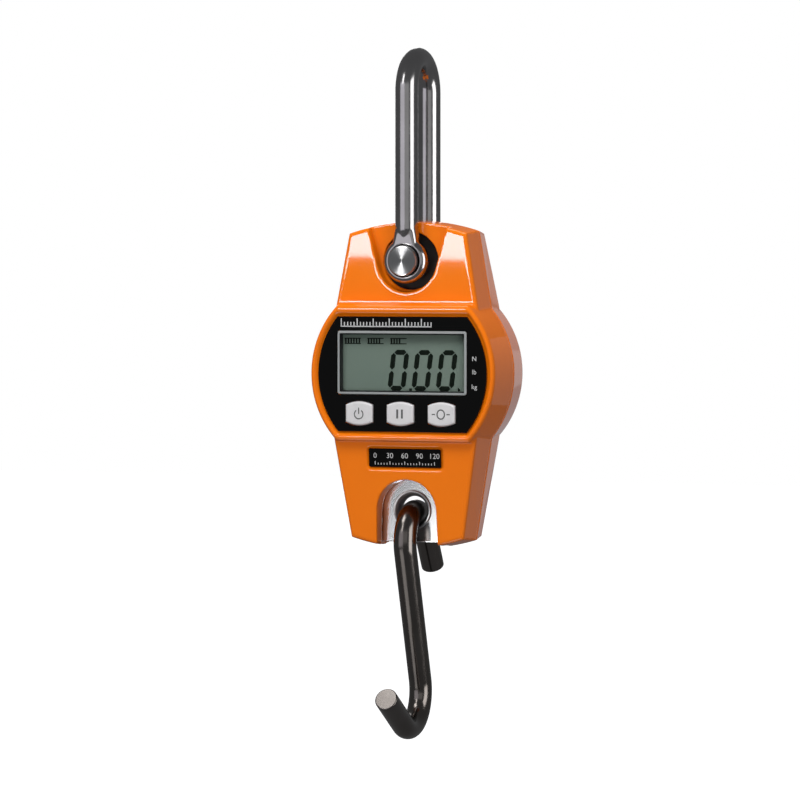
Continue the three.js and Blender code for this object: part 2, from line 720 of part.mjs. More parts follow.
function mainBoard() {
  const back = BOARD.front + BOARD.thickness;
  return cut(
    box(
      -BOARD.halfWidth,
      BOARD.halfWidth,
      BOARD.front,
      back,
      BARREL_Z + BOARD.bottom,
      BARREL_Z + BOARD.top,
    ),
    ...[-1, 1].map((side) => rod(1.6, -20, 0, side * BOARD_SCREW.x, BARREL_Z + BOARD_SCREW.z, 12)),
  );
}

const BOARD_BACK = BOARD.front + BOARD.thickness;
piece("main_board", BOARD_GREEN, mainBoard());
piece(
  "adc_chip",
  DARK_PLASTIC,
  box(-5, 5, BOARD_BACK + GAP, BOARD_BACK + 1.7, BARREL_Z - 16, BARREL_Z - 9),
);
[-1, 1].forEach((side, i) =>
  piece(
    `board_screw_${i + 1}`,
    ZINC,
    screw(side * BOARD_SCREW.x, BARREL_Z + BOARD_SCREW.z, BOARD_BACK + GAP, 1.2, -14, 2.1, 1),
  ),
);

function keySwitch(x) {
  const z = BARREL_Z + BUTTON_Z;
  const front = BOARD.front - GAP;
  return join(box(x - 3, x + 3, front - 1.9, front, z - 3, z + 3), rod(1.7, front - 2.3, front, x, z, 16));
}

// A key cap with a flange that keeps it behind the shell's wall.
function button(x) {
  const flangeFront = -BARREL_DEPTH + FRONT_FACE_WALL + GAP;
  return join(
    plate(buttonOutline(x, 0), -19.3, flangeFront + 0.4, 0.4, 1),
    plate(buttonOutline(x, 0.8), flangeFront, flangeFront + BUTTON_TRAVEL),
  );
}

["power_button", "hold_button", "tare_button"].forEach((name, i) => {
  const x = buttonPlaces()[i];
  piece(name, WHITE_PLASTIC, button(x));
  piece(`key_switch_${i + 1}`, DARK_PLASTIC, keySwitch(x));
});
piece("capacity_label", BLACK, labelPlate(0, LABEL.recess - GAP, 0.6));

// ---------- batteries ----------

const BATTERY_Y = 11.45;
const CELL_PLACES = [-11, 0, 11].map((z) => BARREL_Z + z);

function batteryTray() {
  const { halfWidth, halfHeight, floor, rim, wall } = TRAY;
  const outline = (inset) =>
    roundedBox(
      halfWidth - inset,
      BARREL_Z - halfHeight + inset,
      BARREL_Z + halfHeight - inset,
      1,
    );
  return cut(plate(outline(0), floor, rim), plate(outline(wall), floor + wall, 30));
}

// A dry cell along X with its button end at the right.
function battery(z) {
  const left = -21.6;
  const shoulder = left + BATTERY_LENGTH - 1;
  const points = [
    [0, left],
    [BATTERY_RADIUS, left],
    [BATTERY_RADIUS, shoulder],
    [1.9, shoulder],
    [1.9, shoulder + 1],
    [0, shoulder + 1],
  ].map(([r, x]) => new THREE.Vector2(r, x));
  const geometry = new THREE.LatheGeometry(points, 16);
  return solid(geometry.rotateZ(-Math.PI / 2).translate(0, BATTERY_Y, z));
}

// A flat-ended coil that presses on a dry cell's base.
function batterySpring(z) {
  const left = -23;
  const turns = 2;
  const points = Array.from({ length: 25 }, (_, i) => {
    const angle = (i / 24) * turns * 2 * Math.PI;
    return new THREE.Vector3(
      left + (1 * i) / 24,
      BATTERY_Y + 3 * Math.cos(angle),
      z + 3 * Math.sin(angle),
    );
  });
  return wire(new THREE.CatmullRomCurve3(points), 0.2, 6, 20);
}

piece("battery_tray", DARK_PLASTIC, batteryTray());
CELL_PLACES.forEach((z, i) => {
  piece(`battery_${i + 1}`, BATTERY_SLEEVE, battery(z));
  piece(`battery_spring_${i + 1}`, BRASS_SPRING, batterySpring(z));
});
const contact = (x) => box(x, x + 0.3, BATTERY_Y - 4, BATTERY_Y + 4, BARREL_Z - 15.5, BARREL_Z + 15.5);
piece("contact_plate_left", BRASS_SPRING, contact(-23.9));
piece("contact_plate_right", BRASS_SPRING, contact(23.5));

function batteryCover() {
  const outline = roundedBox(
    COVER.halfWidth,
    BARREL_Z + COVER.bottom,
    BARREL_Z + COVER.top,
    COVER.round,
  );
  return cut(
    plate(outline, COVER.inner, COVER.outer, 0.3, 1),
    rod(SCREW_SHANK + GAP, 0, 30, 0, COVER_SCREW.z, 16),
    rod(COVER_SCREW.head + GAP, COVER.outer - COVER_SCREW.sink - 0.05, 30, 0, COVER_SCREW.z, 24),
  );
}

piece("battery_cover", PAINT, batteryCover());
const { z: coverScrewZ, head: coverScrewHead, headHeight, sink } = COVER_SCREW;
piece(
  "cover_screw",
  ZINC,
  screw(0, coverScrewZ, COVER.outer - sink, headHeight, 12, coverScrewHead),
);

// ---------- leads held inside ----------

function lead(points) {
  const route = new THREE.CatmullRomCurve3(points.map(([x, y, z]) => new THREE.Vector3(x, y, z)));
  return wire(route, 0.6, 8, 8);
}

piece(
  "cell_lead",
  WIRE_SLEEVE,
  lead([
    [14.6, -2, BARREL_Z],
    [16.5, -3, BARREL_Z - 2],
    [18, -6, BARREL_Z - 5],
    [18, -8.2, BARREL_Z - 7],
  ]),
);
piece(
  "battery_lead",
  WIRE_SLEEVE,
  lead([
    [-19, 3.8, BARREL_Z - 8],
    [-19.5, 1, BARREL_Z - 9],
    [-19.5, -5, BARREL_Z - 9],
    [-19, -8.2, BARREL_Z - 8],
  ]),
);

export default whole;
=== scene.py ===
"""The looks of the crane scale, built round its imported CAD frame. Metres, +Z up, display at -Y."""

import json
from math import acos, asin, atan2, cos, hypot, pi, radians, sin, sqrt, tan

import bmesh
import bpy
from mathutils import Matrix, Vector


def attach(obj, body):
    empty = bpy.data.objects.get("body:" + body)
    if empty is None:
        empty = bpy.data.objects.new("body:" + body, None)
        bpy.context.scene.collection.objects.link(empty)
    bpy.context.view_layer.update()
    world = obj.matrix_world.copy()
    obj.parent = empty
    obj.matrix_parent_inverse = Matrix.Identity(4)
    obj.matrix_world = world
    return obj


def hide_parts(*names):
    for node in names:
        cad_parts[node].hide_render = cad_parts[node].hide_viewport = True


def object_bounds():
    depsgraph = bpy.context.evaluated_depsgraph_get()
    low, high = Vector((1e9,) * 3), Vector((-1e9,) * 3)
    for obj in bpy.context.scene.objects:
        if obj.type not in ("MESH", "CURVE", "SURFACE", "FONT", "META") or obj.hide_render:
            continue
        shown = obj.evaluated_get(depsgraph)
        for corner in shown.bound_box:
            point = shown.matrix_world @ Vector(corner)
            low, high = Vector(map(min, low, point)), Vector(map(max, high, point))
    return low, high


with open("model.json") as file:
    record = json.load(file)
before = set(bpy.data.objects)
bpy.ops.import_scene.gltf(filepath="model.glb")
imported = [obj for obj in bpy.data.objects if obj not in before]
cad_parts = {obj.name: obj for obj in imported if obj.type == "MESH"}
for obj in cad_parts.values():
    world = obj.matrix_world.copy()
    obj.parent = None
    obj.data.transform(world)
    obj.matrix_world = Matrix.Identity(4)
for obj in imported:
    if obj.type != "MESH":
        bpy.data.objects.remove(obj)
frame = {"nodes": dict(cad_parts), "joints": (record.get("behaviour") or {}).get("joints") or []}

MM = 0.001
CAD_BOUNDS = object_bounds()
NODES = frame["nodes"]


# ---------- places taken from the frame ----------

def joint(name):
    return next(j for j in frame["joints"] if j["name"] == name)


PIN_Z = joint("housing_swing")["pos_m"][2]
BARREL_Z = PIN_Z - 43 * MM


# ---------- stage, camera and lights ----------

VIEW_AZIMUTH = radians(20)
VIEW_ELEVATION = radians(2)
VIEW_DISTANCE = 1.538
LENS = 180
AIM_SIDE = -6.9 * MM
AIM_HEIGHT = PIN_Z - 53.5 * MM
FLOOR_DROP = 250 * MM
ENERGY_PER_AREA = 4


def look(azimuth, elevation):
    """Direction from the object towards a viewer."""
    flat = cos(elevation)
    return Vector((sin(azimuth) * flat, -cos(azimuth) * flat, sin(elevation)))


def aim(obj, target):
    obj.rotation_euler = (target - obj.location).to_track_quat("-Z", "Y").to_euler()


def add_camera():
    camera = bpy.data.objects.new("camera", bpy.data.cameras.new("camera"))
    camera.data.lens = LENS
    camera.data.clip_end = 20
    side = Vector((cos(VIEW_AZIMUTH), sin(VIEW_AZIMUTH), 0))
    target = side * AIM_SIDE + Vector((0, 0, AIM_HEIGHT))
    camera.location = target + look(VIEW_AZIMUTH, VIEW_ELEVATION) * VIEW_DISTANCE
    aim(camera, target)
    bpy.context.scene.collection.objects.link(camera)
    bpy.context.scene.camera = camera


def softbox(name, azimuth, elevation, distance, width, height, radiance, lift=0.0, mirrored=True):
    """A soft panel of light facing the barrel, or a point above it. Where it isn't mirrored,
    it lights the object without showing in its gloss. Its energy grows with its area, so that
    a change of size leaves its brightness alone."""
    data = bpy.data.lights.new(name, "AREA")
    data.shape = "RECTANGLE"
    data.size = width
    data.size_y = height
    data.energy = ENERGY_PER_AREA * width * height * radiance
    light = bpy.data.objects.new(name, data)
    middle = Vector((0, 0, BARREL_Z + lift))
    light.location = middle + look(radians(azimuth), radians(elevation)) * distance
    aim(light, middle)
    light.visible_glossy = mirrored
    bpy.context.scene.collection.objects.link(light)
    return light


def light_only(light, *pieces):
    """Keep a light to the pieces it is meant for."""
    receivers = bpy.data.collections.new(light.name + "_pieces")
    for piece in pieces:
        receivers.objects.link(piece)
    light.light_linking.receiver_collection = receivers


def add_lights(bow, pin, hook_bar, ring, shells, cell):
    """Cards that draw streaks and patches in the gloss of chosen pieces, and soft light for all."""
    # The sloping face mirrors this card; its lower edge ends the white patches there.
    face_card = softbox("face_card", -20, 0, 1.0, 0.4, 0.14, 11, lift=0.207)
    face_card.data.color = (0.88, 0.88, 1.0)
    light_only(face_card, *shells)
    light_only(softbox("foot_card", -8, 0, 1.0, 0.4, 0.12, 5, lift=-0.205), cell, ring)
    light_only(softbox("bar_strip", 76, 2, 1.0, 0.6, 1.0, 2.6), bow, hook_bar, ring)
    left_grey = softbox("left_grey", -24, 0, 1.0, 0.8, 0.8, 0.75, lift=0.12)
    left_grey.data.color = (0.94, 0.92, 1.0)
    light_only(left_grey, bow, hook_bar)
    light_only(softbox("middle_grey", 20, 0, 1.0, 0.8, 0.6, 0.3, lift=0.2), bow, hook_bar)
    light_only(softbox("bend_card", -22, 36, 1.1, 0.22, 0.4, 3), bow, hook_bar)
    light_only(softbox("tip_card", -40, 58, 1.1, 0.4, 0.4, 4), hook_bar)
    light_only(softbox("low_card", -22, -35, 1.1, 0.6, 0.5, 0.7), hook_bar, ring)
    light_only(softbox("under_card", -10, -70, 1.0, 0.7, 0.5, 1.2), *shells)
    for name, elevation in (("pin_high", 42), ("pin_low", -48)):
        light_only(softbox(name, -20, elevation, 1.0, 0.3, 0.8, 10), pin)
    light_only(softbox("side_card", 160, 0, 1.2, 0.7, 0.7, 0.15), *shells)
    rear_card = softbox("rear_card", 182, 0, 1.2, 0.5, 0.9, 0.22)
    rear_card.data.color = (0.85, 0.9, 1.0)
    light_only(rear_card, *shells)
    softbox("rear_left", -150, 15, 1.2, 0.5, 0.8, 1.2)
    softbox("rear_fill", 180, 30, 1.2, 0.8, 0.6, 1.6, mirrored=False)
    softbox("key", -12, 50, 1.1, 0.8, 0.6, 2.5, mirrored=False)
    softbox("front_fill", 15, 55, 1.2, 0.7, 0.5, 3.6, mirrored=False)
    softbox("low_fill", 48, -14, 1.2, 0.8, 0.6, 2.8, mirrored=False)
    light_only(softbox("overhead", 0, 88, 0.9, 0.7, 0.5, 2.2), *shells, cell)


def add_world():
    """White to the eye, and a dim grey room in reflections."""
    world = bpy.data.worlds.new("studio")
    bpy.context.scene.world = world
    bpy.context.scene.view_settings.view_transform = "Standard"
    world.use_nodes = True
    nodes, links = world.node_tree.nodes, world.node_tree.links
    room = nodes["Background"]
    room.inputs["Color"].default_value = (0.95, 0.97, 1.0, 1)
    room.inputs["Strength"].default_value = 0.14
    bright = nodes.new("ShaderNodeBackground")
    bright.inputs["Color"].default_value = (1, 1, 1, 1)
    path = nodes.new("ShaderNodeLightPath")
    mix = nodes.new("ShaderNodeMixShader")
    links.new(path.outputs["Is Camera Ray"], mix.inputs["Fac"])
    links.new(room.outputs["Background"], mix.inputs[1])
    links.new(bright.outputs["Background"], mix.inputs[2])
    links.new(mix.outputs["Shader"], nodes["World Output"].inputs["Surface"])


def add_stage():
    """A pale floor below the hanging scale. It glows, and so it takes no shadow."""
    floor_z = CAD_BOUNDS[0][2] - FLOOR_DROP
    bpy.ops.mesh.primitive_plane_add(size=12, location=(0, 0, floor_z))
    floor = bpy.context.object
    floor.name = "floor"
    pale = bpy.data.materials.new("pale_floor")
    pale.use_nodes = True
    shader = pale.node_tree.nodes["Principled BSDF"]
    shader.inputs["Base Color"].default_value = (0.9, 0.9, 0.9, 1)
    shader.inputs["Roughness"].default_value = 0.9
    shader.inputs["Emission Color"].default_value = (1, 1, 1, 1)
    shader.inputs["Emission Strength"].default_value = 1.0
    floor.data.materials.append(pale)
    floor.visible_glossy = False
    floor.visible_diffuse = False


# ---------- materials ----------

class Finish:
    """A node material with a Principled shader, and helpers that add procedural detail."""

    def __init__(self, name, color, roughness, metallic=0.0, **more):
        self.material = bpy.data.materials.new(name)
        self.material.use_nodes = True
        self.nodes = self.material.node_tree.nodes
        self.links = self.material.node_tree.links
        self.shader = self.nodes["Principled BSDF"]
        self.color = color
        self.set("Base Color", (*color, 1))
        self.set("Roughness", roughness)
        self.set("Metallic", metallic)
        for socket, value in more.items():
            self.set(socket.replace("_", " "), value)
        self.place = self.nodes.new("ShaderNodeTexCoord").outputs["Object"]
        self.normal = None

    def set(self, socket, value):
        self.shader.inputs[socket].default_value = value

    def turn_about_y(self):
        """Fine grooves round the piece's own Y axis, as a lathe leaves them."""
        tangent = self.nodes.new("ShaderNodeTangent")
        tangent.direction_type = "RADIAL"
        tangent.axis = "Y"
        self.links.new(tangent.outputs["Tangent"], self.shader.inputs["Tangent"])
        return self

    def noise(self, scale, detail=3.0, stretch=(1, 1, 1)):
        mapping = self.nodes.new("ShaderNodeMapping")
        mapping.inputs["Scale"].default_value = stretch
        noise = self.nodes.new("ShaderNodeTexNoise")
        noise.inputs["Scale"].default_value = scale
        noise.inputs["Detail"].default_value = detail
        self.links.new(self.place, mapping.inputs["Vector"])
        self.links.new(mapping.outputs["Vector"], noise.inputs["Vector"])
        return noise.outputs["Fac"]

    def spread(self, value, low, high):
        span = self.nodes.new("ShaderNodeMapRange")
        span.inputs["To Min"].default_value = low
        span.inputs["To Max"].default_value = high
        span.inputs["From Min"].default_value = 0.3
        span.inputs["From Max"].default_value = 0.7
        self.links.new(value, span.inputs["Value"])
        return span.outputs["Result"]

    def vary_color(self, value, other):
        mix = self.nodes.new("ShaderNodeMix")
        mix.data_type = "RGBA"
        mix.inputs["A"].default_value = (*self.color, 1)
        mix.inputs["B"].default_value = (*other, 1)
        self.links.new(self.spread(value, 0, 1), mix.inputs["Factor"])
        self.links.new(mix.outputs["Result"], self.shader.inputs["Base Color"])
        return self

    def vary_roughness(self, value, low, high):
        self.links.new(self.spread(value, low, high), self.shader.inputs["Roughness"])
        return self

    def bump(self, value, height, strength=1.0):
        bump = self.nodes.new("ShaderNodeBump")
        bump.inputs["Distance"].default_value = height
        bump.inputs["Strength"].default_value = strength
        self.links.new(value, bump.inputs["Height"])
        if self.normal:
            self.links.new(self.normal, bump.inputs["Normal"])
        self.normal = bump.outputs["Normal"]
        self.links.new(self.normal, self.shader.inputs["Normal"])
        return self


def paint_finish():
    paint = Finish("orange_paint", (0.93, 0.2, 0.003), 0.4, Coat_Weight=1.0)
    paint.set("Coat Roughness", 0.03)
    paint.set("Coat IOR", 1.6)
    paint.set("Specular IOR Level", 0.0)
    paint.vary_color(paint.noise(60), (0.9, 0.188, 0.0025))
    return {"paint": paint.bump(paint.noise(900, 2), 0.00003, 0.35)}


def steel_finishes():
    steel = Finish("polished_steel", (0.4, 0.39, 0.39), 0.16, 1.0)
    steel.vary_color(steel.noise(90, 4), (0.35, 0.34, 0.34))
    steel.vary_roughness(steel.noise(700, 4, (1, 1, 0.08)), 0.15, 0.2)
    # The hook's steel is the bow's steel made darker: painted shade for the dim surroundings it mirrors.
    hook_steel = Finish("hook_steel", (0.17, 0.155, 0.145), 0.18, 1.0)
    hook_steel.vary_color(hook_steel.noise(90, 4), (0.14, 0.125, 0.115))
    hook_steel.vary_roughness(hook_steel.noise(700, 4, (1, 1, 0.08)), 0.16, 0.22)
    # A near-black steel that paints the shade deep in the pocket round the pin onto the load cell's top.
    blackened = Finish("painted_shade_steel", (0.03, 0.03, 0.03), 0.5, 0.4)
    blackened.vary_color(blackened.noise(300), (0.02, 0.02, 0.02))
    return {"dark_steel": steel, "hook_steel": hook_steel, "blackened": blackened}


def bright_metal_finishes():
    spun = Finish("spun_steel", (0.6, 0.6, 0.61), 0.3, 1.0, Anisotropic=0.9)
    spun.set("Anisotropic Rotation", 0.25)
    spun.turn_about_y()
    zinc = Finish("zinc_steel", (0.55, 0.56, 0.58), 0.3, 1.0)
    zinc.vary_color(zinc.noise(300), (0.46, 0.46, 0.5))
    zinc.vary_roughness(zinc.noise(900), 0.22, 0.42)
    satin = Finish("satin_aluminium", (0.88, 0.88, 0.9), 0.15, 1.0)
    satin.vary_roughness(satin.noise(500, 4, (0.15, 1, 3)), 0.145, 0.16)
    return {"turned_steel": spun, "zinc_steel": zinc, "satin_aluminium": satin}


def plastic_finishes():
    panel = Finish("gloss_black", (0.003, 0.003, 0.003), 0.06)
    panel.set("Specular IOR Level", 0.25)
    panel.vary_roughness(panel.noise(400), 0.05, 0.07)
    black = Finish("moulded_black", (0.018, 0.018, 0.02), 0.45)
    black.bump(black.noise(2500, 2), 0.00003, 0.5)
    white = Finish("moulded_white", (0.92, 0.9, 0.91), 0.35, Subsurface_Weight=0.1)
    white.set("Subsurface Radius", (0.002, 0.002, 0.002))
    white.vary_color(white.noise(200), (0.88, 0.86, 0.87))
    white.bump(white.noise(3000, 2), 0.00002, 0.4)
    grey = Finish("moulded_grey", (0.42, 0.44, 0.44), 0.4)
    grey.bump(grey.noise(3000, 2), 0.00002, 0.4)
    return {
        "gloss_black": panel, "black_plastic": black, "white_plastic": white, "grey_plastic": grey,
    }


def print_and_display_finishes():
    ink = Finish("grey_ink", (0.16, 0.16, 0.16), 0.5)
    ink.vary_color(ink.noise(1200), (0.12, 0.12, 0.12))
    print_white = Finish("white_ink", (0.8, 0.8, 0.8), 0.45)
    print_white.vary_color(print_white.noise(1500), (0.7, 0.7, 0.7))
    glass = Finish("liquid_crystal", (0.26, 0.345, 0.29), 0.3)
    glass.vary_color(glass.noise(40, 2), (0.29, 0.375, 0.315))
    segment = Finish("lcd_segment", (0.006, 0.012, 0.008), 0.6)
    segment.set("Specular IOR Level", 0.05)
    segment.vary_color(segment.noise(800), (0.012, 0.018, 0.013))
    return {"ink": ink, "white_ink": print_white, "lcd": glass, "segment": segment}


def electrical_finishes():
    board = Finish("circuit_board", (0.02, 0.13, 0.05), 0.35)
    board.vary_color(board.noise(700, 2, (1, 1, 0.2)), (0.04, 0.2, 0.08))
    foil = Finish("gauge_foil", (0.6, 0.38, 0.16), 0.35)
    foil.vary_color(foil.noise(2000, 1, (1, 1, 0.1)), (0.35, 0.2, 0.08))
    brass = Finish("nickel_brass", (0.75, 0.6, 0.32), 0.28, 1.0)
    brass.vary_roughness(brass.noise(800), 0.2, 0.4)
    sleeve = Finish("battery_sleeve", (0.035, 0.04, 0.05), 0.3, 0.2)
    sleeve.vary_color(sleeve.noise(40, 1, (6, 0.2, 0.2)), (0.25, 0.26, 0.28))
    red = Finish("lead_insulation", (0.4, 0.02, 0.015), 0.45)
    red.bump(red.noise(2000), 0.00003, 0.4)
    return {"board": board, "gauge": foil, "spring_metal": brass, "battery": sleeve, "lead": red}


def lens_material():
    """A clear flat window: mostly see-through, with a weak glossy skin that grows at grazing angles."""
    material = bpy.data.materials.new("clear_lens")
    material.use_nodes = True
    nodes, links = material.node_tree.nodes, material.node_tree.links
    shader = nodes["Principled BSDF"]
    shader.inputs["Base Color"].default_value = (0.02, 0.025, 0.02, 1)
    shader.inputs["Roughness"].default_value = 0.03
    weight = nodes.new("ShaderNodeLayerWeight")
    weight.inputs["Blend"].default_value = 0.12
    span = nodes.new("ShaderNodeMapRange")
    span.inputs["To Min"].default_value = 0.05
    span.inputs["To Max"].default_value = 0.6
    links.new(weight.outputs["Fresnel"], span.inputs["Value"])
    links.new(span.outputs["Result"], shader.inputs["Alpha"])
    return material


def make_materials():
    """Every material of the object by its short name."""
    families = (
        paint_finish, steel_finishes, bright_metal_finishes, plastic_finishes,
        print_and_display_finishes, electrical_finishes,
    )
    finishes = {name: finish.material for family in families for name, finish in family().items()}
    return {**finishes, "lens": lens_material()}


MATERIALS = make_materials()


# ---------- mesh tools: millimetres, heights from the pin's axis, until a piece is settled ----------

BARREL = -43.0
EYE = -95.5
# Cutters that end at FAR, or run THROUGH, reach past every face they cut.
FAR = 30
THROUGH = [(-20, 0), (20, 0)]
# Edges sharper than this, in degrees, stay crisp on small flat pieces.
CRISP = 30


def mesh_object(name, verts, faces):
    mesh = bpy.data.meshes.new(name)
    mesh.from_pydata([tuple(v) for v in verts], [], faces)
    build = bmesh.new()
    build.from_mesh(mesh)
    bmesh.ops.remove_doubles(build, verts=build.verts, dist=1e-4)
    bmesh.ops.dissolve_degenerate(build, edges=build.edges, dist=1e-5)
    bmesh.ops.recalc_face_normals(build, faces=build.faces)
    build.to_mesh(mesh)
    build.free()
    obj = bpy.data.objects.new(name, mesh)
    bpy.context.scene.collection.objects.link(obj)
    return obj


def ladder(name, rings, x=0.0):
    """A closed solid from rings of mirrored pairs. A ring lists (half width, y, z), bottom to top."""
    verts = []
    for ring in rings:
        verts += [(x + half, y, z) for half, y, z in ring]
        verts += [(x - half, y, z) for half, y, z in ring]
    count = len(rings[0])
    loop = list(range(count)) + list(range(2 * count - 1, count - 1, -1))
    faces = []
    for k in range(len(rings) - 1):
        here, there = 2 * count * k, 2 * count * (k + 1)
        for a, b in zip(loop, loop[1:] + loop[:1]):
            faces.append((here + a, here + b, there + b, there + a))
    for end in (0, 2 * count * (len(rings) - 1)):
        for i in range(count - 1):
            faces.append((end + i, end + i + 1, end + count + i + 1, end + count + i))
    return mesh_object(name, verts, faces)


def slab(name, section, levels, x=0.0):
    """A solid whose section(growth) of (half width, z) pairs is set at each (y, growth) level."""
    return ladder(name, [[(half, y, z) for half, z in section(grow)] for y, grow in levels], x)


def rounded_levels(y0, y1, start, end, steps=5):
    """Levels from y0 to y1, with a quarter round of the given radius at either end."""
    turn = [i / steps * pi / 2 for i in range(steps + 1)]
    first = [(y0 + start * (1 - cos(a)), start * (sin(a) - 1)) for a in turn] if start else [(y0, 0)]
    last = [(y1 - end * (1 - cos(a)), end * (sin(a) - 1)) for a in reversed(turn)] if end else [(y1, 0)]
    return first + last


def lathe(name, profile, x=0.0, z=0.0, steps=96):
    """A solid turned about Y. The profile lists (radius, y), and closes on itself or on the axis."""
    verts = []
    for radius, y in profile:
        for i in range(steps):
            angle = 2 * pi * i / steps
            verts.append((x + radius * cos(angle), y, z + radius * sin(angle)))
    faces = []
    rows = list(range(len(profile)))
    closed = profile[0][0] > 0
    pairs = zip(rows, rows[1:] + rows[:1]) if closed else zip(rows, rows[1:])
    for a, b in pairs:
        for i in range(steps):
            j = (i + 1) % steps
            faces.append((a * steps + i, a * steps + j, b * steps + j, b * steps + i))
    return mesh_object(name, verts, faces)


def filleted(points, radius, steps=4):
    """An open outline with each inner corner rounded, as far as its sides allow."""
    points = [Vector(p) for p in points]
    result = [tuple(points[0])]
    for before, corner, after in zip(points, points[1:], points[2:]):
        into, out = before - corner, after - corner
        reach = min(radius, 0.45 * into.length, 0.45 * out.length)
        start = corner + into.normalized() * reach
        end = corner + out.normalized() * reach
        for i in range(steps + 1):
            t = i / steps
            result.append(tuple(start * (1 - t) ** 2 + corner * 2 * t * (1 - t) + end * t * t))
    return result + [tuple(points[-1])]


def bar(name, path, radius, end_round, sides=56, thin=None):
    """A round bar along (y, z) points in the plane X = 0, with rounded end faces. Where thin
    is given, thin(point) scales its radius."""
    path = [Vector((0, y, z)) for y, z in path]
    across = Vector((1, 0, 0))
    first, last = (path[0] - path[1]).normalized(), (path[-1] - path[-2]).normalized()
    steps = 5
    turn = [i / steps * pi / 2 for i in range(steps)]
    end = radius * (thin(path[0]) if thin else 1)
    rows = [
        (path[0] - first * end_round * (1 - cos(a)), first, end - end_round * (1 - sin(a)))
        for a in turn
    ]
    for behind, point, ahead in zip(path, path[1:], path[2:]):
        rows.append((point, (behind - ahead).normalized(), radius * (thin(point) if thin else 1)))
    rows += [
        (path[-1] - last * end_round * (1 - cos(a)), -last, end - end_round * (1 - sin(a)))
        for a in reversed(turn)
    ]
    verts = []
    for point, along, size in rows:
        up = across.cross(along)
        for i in range(sides):
            angle = 2 * pi * i / sides
            verts.append(point + (across * cos(angle) + up * sin(angle)) * size)
    faces = []
    for k in range(len(rows) - 1):
        for i in range(sides):
            j = (i + 1) % sides
            faces.append((k * sides + i, k * sides + j, (k + 1) * sides + j, (k + 1) * sides + i))
    faces.append(tuple(range(sides)))
    faces.append(tuple(range((len(rows) - 1) * sides, len(rows) * sides)))
    return mesh_object(name, verts, faces)


def apply_modifiers(obj):
    graph = bpy.context.evaluated_depsgraph_get()
    mesh = bpy.data.meshes.new_from_object(obj.evaluated_get(graph))
    obj.modifiers.clear()
    obj.data = mesh


def combine(operation, target, tools):
    for tool in tools:
        step = target.modifiers.new(operation, "BOOLEAN")
        step.operation = operation
        step.solver = "MANIFOLD"
        step.object = tool
        apply_modifiers(target)
        bpy.data.objects.remove(tool)
    return target


def cut(target, *tools):
    return combine("DIFFERENCE", target, tools)


def join(target, *tools):
    return combine("UNION", target, tools)


def soften(obj, voxel, rounds=3):
    """Remesh evenly and relax, which rounds every edge and fillets every inside corner."""
    mesh = obj.modifiers.new("voxels", "REMESH")
    mesh.mode = "VOXEL"
    mesh.voxel_size = voxel
    mesh.use_smooth_shade = True
    relax = obj.modifiers.new("relax", "SMOOTH")
    relax.factor = 0.5
    relax.iterations = rounds
    apply_modifiers(obj)
    return obj


def smooth(obj, limit=35):
    """Smooth shading that keeps flat faces flat, and edges sharper than the limit in degrees."""
    for face in obj.data.polygons:
        face.use_smooth = True
    obj.data.set_sharp_from_angle(angle=radians(limit))
    flat = obj.modifiers.new("flat_faces", "WEIGHTED_NORMAL")
    flat.keep_sharp = True
    flat.weight = 100
    return obj


def settle(obj, body, finish, *nodes, axis_z=None):
    """Millimetres from the pin become metres in the frame; then the piece joins its body.
    A turned piece keeps its origin on its own axis, at the height axis_z."""
    origin = 0 if axis_z is None else axis_z * MM + PIN_Z
    obj.data.transform(Matrix.Translation((0, 0, PIN_Z - origin)) @ Matrix.Scale(MM, 4))
    obj.location.z = origin
    obj.data.materials.clear()
    obj.data.materials.append(MATERIALS[finish])
    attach(obj, body)
    if nodes:
        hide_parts(*nodes)
    return obj


def split_level(obj, z):
    """Cut the mesh's faces along a level, so that a finish can end there."""
    build = bmesh.new()
    build.from_mesh(obj.data)
    everything = build.verts[:] + build.edges[:] + build.faces[:]
    bmesh.ops.bisect_plane(build, geom=everything, plane_co=(0, 0, z), plane_no=(0, 0, 1))
    build.to_mesh(obj.data)
    build.free()


def second_finish(obj, finish, where):
    """Give a second material to the faces whose middle passes a test."""
    obj.data.materials.append(finish)
    for face in obj.data.polygons:
        if where(face.center):
            face.material_index = 1


# ---------- sections: (half width, height) pairs from bottom to top ----------

def disc(radius, z=0.0, count=48):
    def section(grow):
        turn = [-pi / 2 + pi * i / count for i in range(count + 1)]
        return [(max((radius + grow) * cos(a), 0), z + (radius + grow) * sin(a)) for a in turn]
    return section


def rounded_box(half, low, high, radius, count=6):
    def section(grow):
        corner = max(radius + grow, 0.05)
        turn = [pi / 2 * i / count for i in range(count + 1)]
        inner, z0, z1 = half + grow - corner, low - grow + corner, high + grow - corner
        bottom = [(inner + corner * sin(a), z0 - corner * cos(a)) for a in turn]
        return bottom + [(inner + corner * cos(a), z1 + corner * sin(a)) for a in turn]
    return section


BODY_FOOT, BODY_BOTTOM = -107.0, -110.6
BODY_CORNER, BODY_TOP = 11.5, 15.4
BOSS_TOP, BOSS_BOTTOM = 26.3, -25.8
FOOT_HALF, MIDDLE_HALF, TOP_HALF = 23.8, 30.0, 24.8
MIDDLE_REACH = 24.0
BARREL_RADIUS, BARREL_DEPTH = 38.9, 18.8


def between(value0, z0, value1, z1, z):
    """The value at a height z on the straight line through two others."""
    return value0 + (value1 - value0) * (z - z0) / (z1 - z0)


